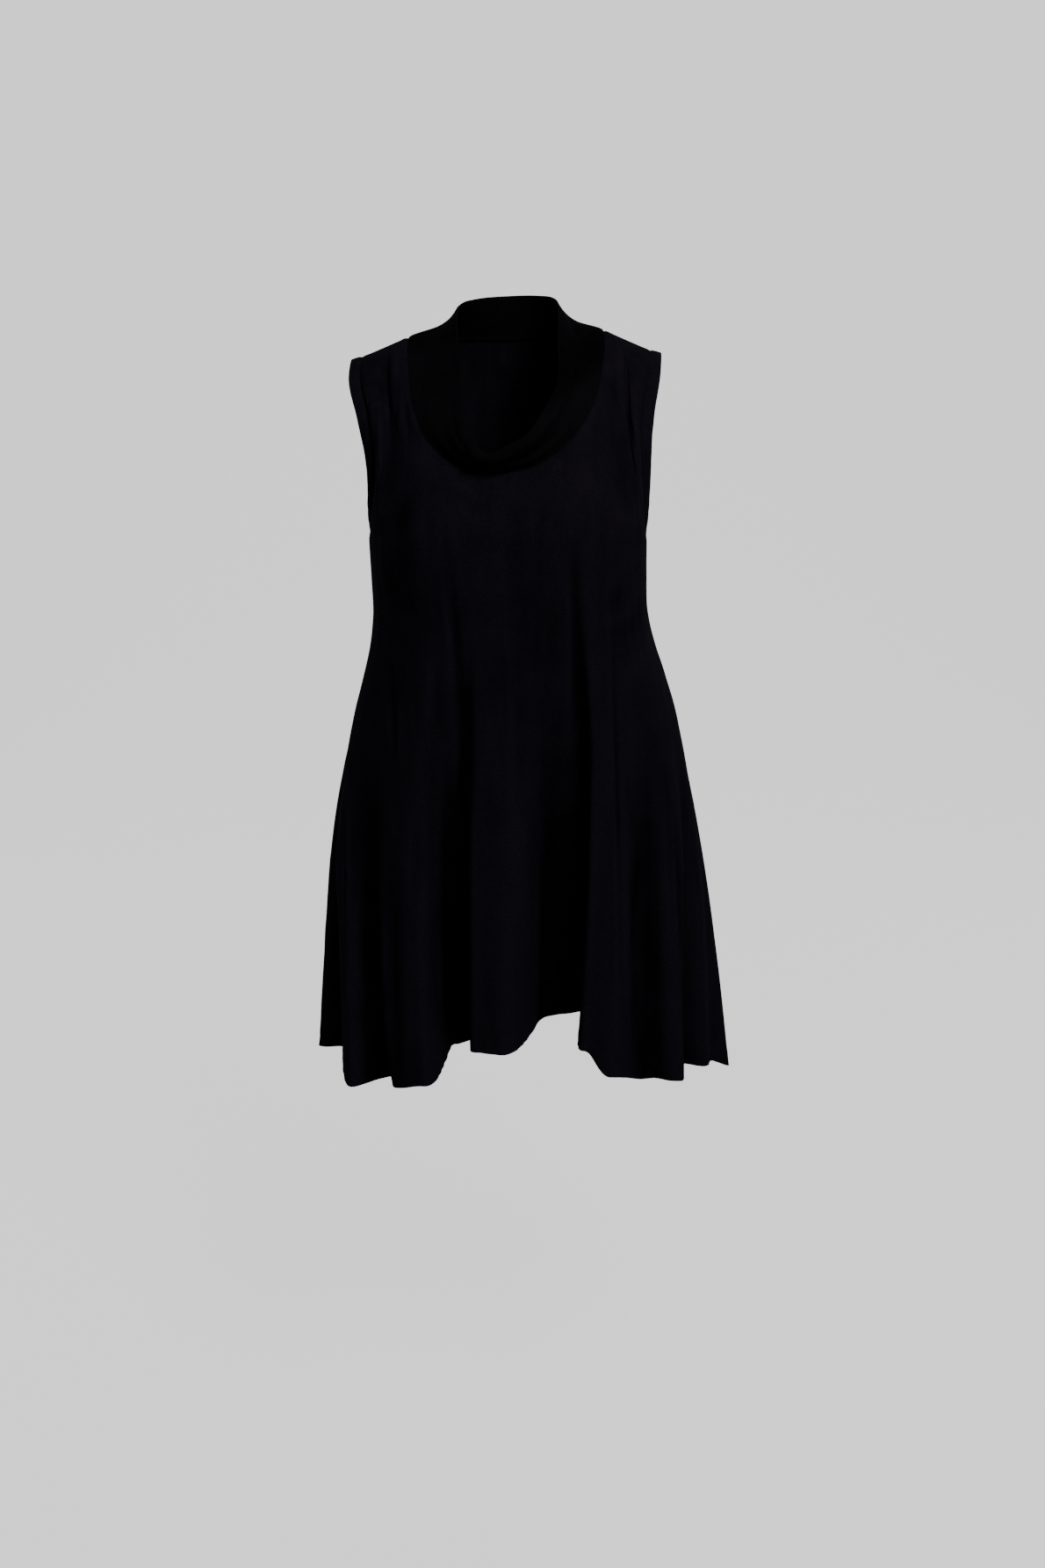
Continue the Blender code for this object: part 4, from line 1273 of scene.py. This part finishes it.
def row_at(outer, normal, distance):
    """The line across a grid at that distance from its first row, and its outward directions."""
    rise = arc_lengths(outer, 0)

    def across(grid):
        columns = range(grid.shape[1])
        return np.array([
            [np.interp(distance, rise[:, i], grid[:, i, k]) for k in range(3)] for i in columns
        ])

    return across(outer) * MM, across(normal)


class DRESS_OT_stitching(bpy.types.Operator):
    """Sews the twin-needle rows of the hem and the row that holds each armhole band"""

    bl_idname = "dress.stitching"
    bl_label = "Stitching"

    def execute(self, context):
        cloth, stitch = context.scene.dress_cloth, context.scene.dress_stitch
        material = thread_material(stitch)
        rows = []
        for back, panel in ((False, "front_jersey"), (True, "back_jersey")):
            outer = outer_layer(panel, len(panel_across()))
            normal = grid_directions(outer, False) * (-1 if back else 1)
            for below in (0.0, NEEDLE_GAP):
                rows.append(row_at(outer, normal, cloth.hem_depth / MM - below))
        stitch_piece("hem_stitching", rows, stitch, HEM_LIFT, material)
        for side, name in ((-1.0, "armhole_stitching_left"), (1.0, "armhole_stitching_right")):
            outer, out = band_surface(side)
            row = [np.concatenate([values, values[:1]]) for values in row_at(outer, out, BAND_ROW)]
            stitch_piece(name, [row], stitch, BAND_LIFT, material)
        return {"FINISHED"}


# The stage, in metres
FLOOR_SIZE = (14.0, 9.0)
WALL_Y = 4.0  # the backdrop rises from the floor's edge behind this
WALL_HEIGHT = 6.0
WALL_BEND = 1.8
AIR_GLOW = 0.03  # brightness of the air round the stage, as it lights the dress and as it is seen
AIR_SEEN = 1.48
DRESS_MIDDLE = (0.0, 0.0, -0.45)
WARM, COOL = (1.0, 0.99, 0.98), (0.97, 0.98, 1.0)

# Each light's place, size, power in watts and colour
LIGHTS = (
    ("key_light", (0.95, -1.8, 1.35), (0.8, 1.0), 98, WARM),
    ("fill_light", (-2.2, -1.9, 0.7), (1.6, 2.0), 12, COOL),
    ("back_light", (0.0, 2.2, 2.5), (1.4, 1.4), 34, (1.0, 1.0, 1.0)),
    ("left_light", (-2.5, 2.4, 0.9), (1.2, 1.6), 56, COOL),
    ("right_light", (2.5, 2.4, 0.9), (1.2, 1.6), 56, WARM),
)

CAMERA_PLACE = (0.0055, -1.82, -0.150)
CAMERA_LENS = 34.29  # millimetres
CAMERA_DOWN = 12.0  # degrees
CAMERA_TILT = 1.3


def soft_light(name, place, size, power, colour):
    """A large rectangular studio light aimed at the middle of the dress."""
    light = bpy.data.lights.new(name, "AREA")
    light.shape, light.size, light.size_y = "RECTANGLE", size[0], size[1]
    light.energy, light.color = power, colour
    lamp = bpy.data.objects.new(name, light)
    bpy.context.scene.collection.objects.link(lamp)
    lamp.location = place
    aim = Vector(DRESS_MIDDLE) - Vector(place)
    lamp.rotation_euler = aim.to_track_quat("-Z", "Y").to_euler()


class DRESS_OT_stage(bpy.types.Operator):
    """Lays the floor, lights the dress softly and sets the camera"""

    bl_idname = "dress.stage"
    bl_label = "Stage"

    def execute(self, context):
        stage = context.scene.dress_stage
        bpy.ops.object.select_all(action="DESELECT")
        bpy.ops.mesh.primitive_plane_add(size=1, location=(0, 0, stage.floor_z))
        floor = context.object
        floor.name = "studio_floor"
        floor.scale = (*FLOOR_SIZE, 1.0)
        bpy.ops.object.transform_apply(location=False, rotation=False, scale=True)
        pick_edges(floor, lambda start, end: min(start.y, end.y) > WALL_Y)
        bpy.ops.mesh.extrude_region_move(TRANSFORM_OT_translate={"value": (0, 0, WALL_HEIGHT)})
        bpy.ops.object.mode_set(mode="OBJECT")
        pick_edges(
            floor, lambda start, end: min(start.y, end.y) > WALL_Y and max(start.z, end.z) < 0.1
        )
        bpy.ops.mesh.bevel(offset=WALL_BEND, segments=24, affect="EDGES")
        bpy.ops.object.mode_set(mode="OBJECT")
        bpy.ops.object.shade_smooth()
        floor.data.materials.append(paper_material(stage))
        bpy.ops.object.transform_apply(location=True, rotation=False, scale=False)
        for name, place, size, power, colour in LIGHTS:
            soft_light(name, place, size, power * stage.light_strength, colour)
        world = context.scene.world or bpy.data.worlds.new("studio_air")
        context.scene.world = world
        world.use_nodes = True
        air = world.node_tree.nodes["Background"]
        air.inputs[0].default_value = (*linear("#e6e6e8"), 1.0)
        low = AIR_GLOW * stage.light_strength
        seen = node(world.node_tree, "LightPath", out="Is Camera Ray")
        bright = node(world.node_tree, "MapRange", [seen, 0.0, 1.0, low, AIR_SEEN])
        world.node_tree.links.new(bright, air.inputs[1])
        place_camera()
        return {"FINISHED"}


def place_camera():
    """Sets the camera in front of the dress, looking down a little with a slight tilt."""
    eye = bpy.data.objects.new("camera", bpy.data.cameras.new("camera"))
    bpy.context.scene.collection.objects.link(eye)
    eye.data.sensor_fit = "VERTICAL"
    eye.data.sensor_height = 36.0
    eye.data.lens = CAMERA_LENS
    eye.data.clip_start, eye.data.clip_end = 0.05, 60.0
    down, tilt = math.radians(CAMERA_DOWN), math.radians(CAMERA_TILT)
    ahead = Vector((0.0, math.cos(down), -math.sin(down)))
    top = Vector((0.0, math.sin(down), math.cos(down)))
    side = Vector((1.0, 0.0, 0.0))
    right = side * math.cos(tilt) - top * math.sin(tilt)
    up = side * math.sin(tilt) + top * math.cos(tilt)
    turn = Matrix((right, up, -ahead)).transposed().to_4x4()
    eye.matrix_world = Matrix.Translation(CAMERA_PLACE) @ turn
    bpy.context.scene.camera = eye


class DRESS_PT_panel(bpy.types.Panel):
    """Lists the settings and steps of the dress"""

    bl_idname = "DRESS_PT_panel"
    bl_label = "Swing Dress"
    bl_space_type = "VIEW_3D"
    bl_region_type = "UI"
    bl_category = "Swing Dress"

    def draw(self, context):
        column = self.layout.column()
        for group in SETTINGS:
            settings = getattr(context.scene, group)
            for name in settings.__annotations__:
                column.prop(settings, name)
        for operator in OPERATORS:
            column.operator(operator.bl_idname)


SETTINGS = {
    "dress_cloth": ClothSettings, "dress_stitch": StitchSettings, "dress_stage": StageSettings,
}
OPERATORS = (
    DRESS_OT_panels, DRESS_OT_collar, DRESS_OT_armhole_bands, DRESS_OT_stitching, DRESS_OT_stage,
)
CLASSES = (*SETTINGS.values(), *OPERATORS, DRESS_PT_panel)


def register():
    for group in CLASSES:
        bpy.utils.register_class(group)
    for name, group in SETTINGS.items():
        setattr(bpy.types.Scene, name, PointerProperty(type=group))


def unregister():
    for name in SETTINGS:
        delattr(bpy.types.Scene, name)
    for group in reversed(CLASSES):
        bpy.utils.unregister_class(group)


def main():
    register()
    bpy.ops.dress.panels()
    bpy.ops.dress.collar()
    bpy.ops.dress.armhole_bands()
    bpy.ops.dress.stitching()
    bpy.ops.dress.stage()


if __name__ == "__main__":
    main()
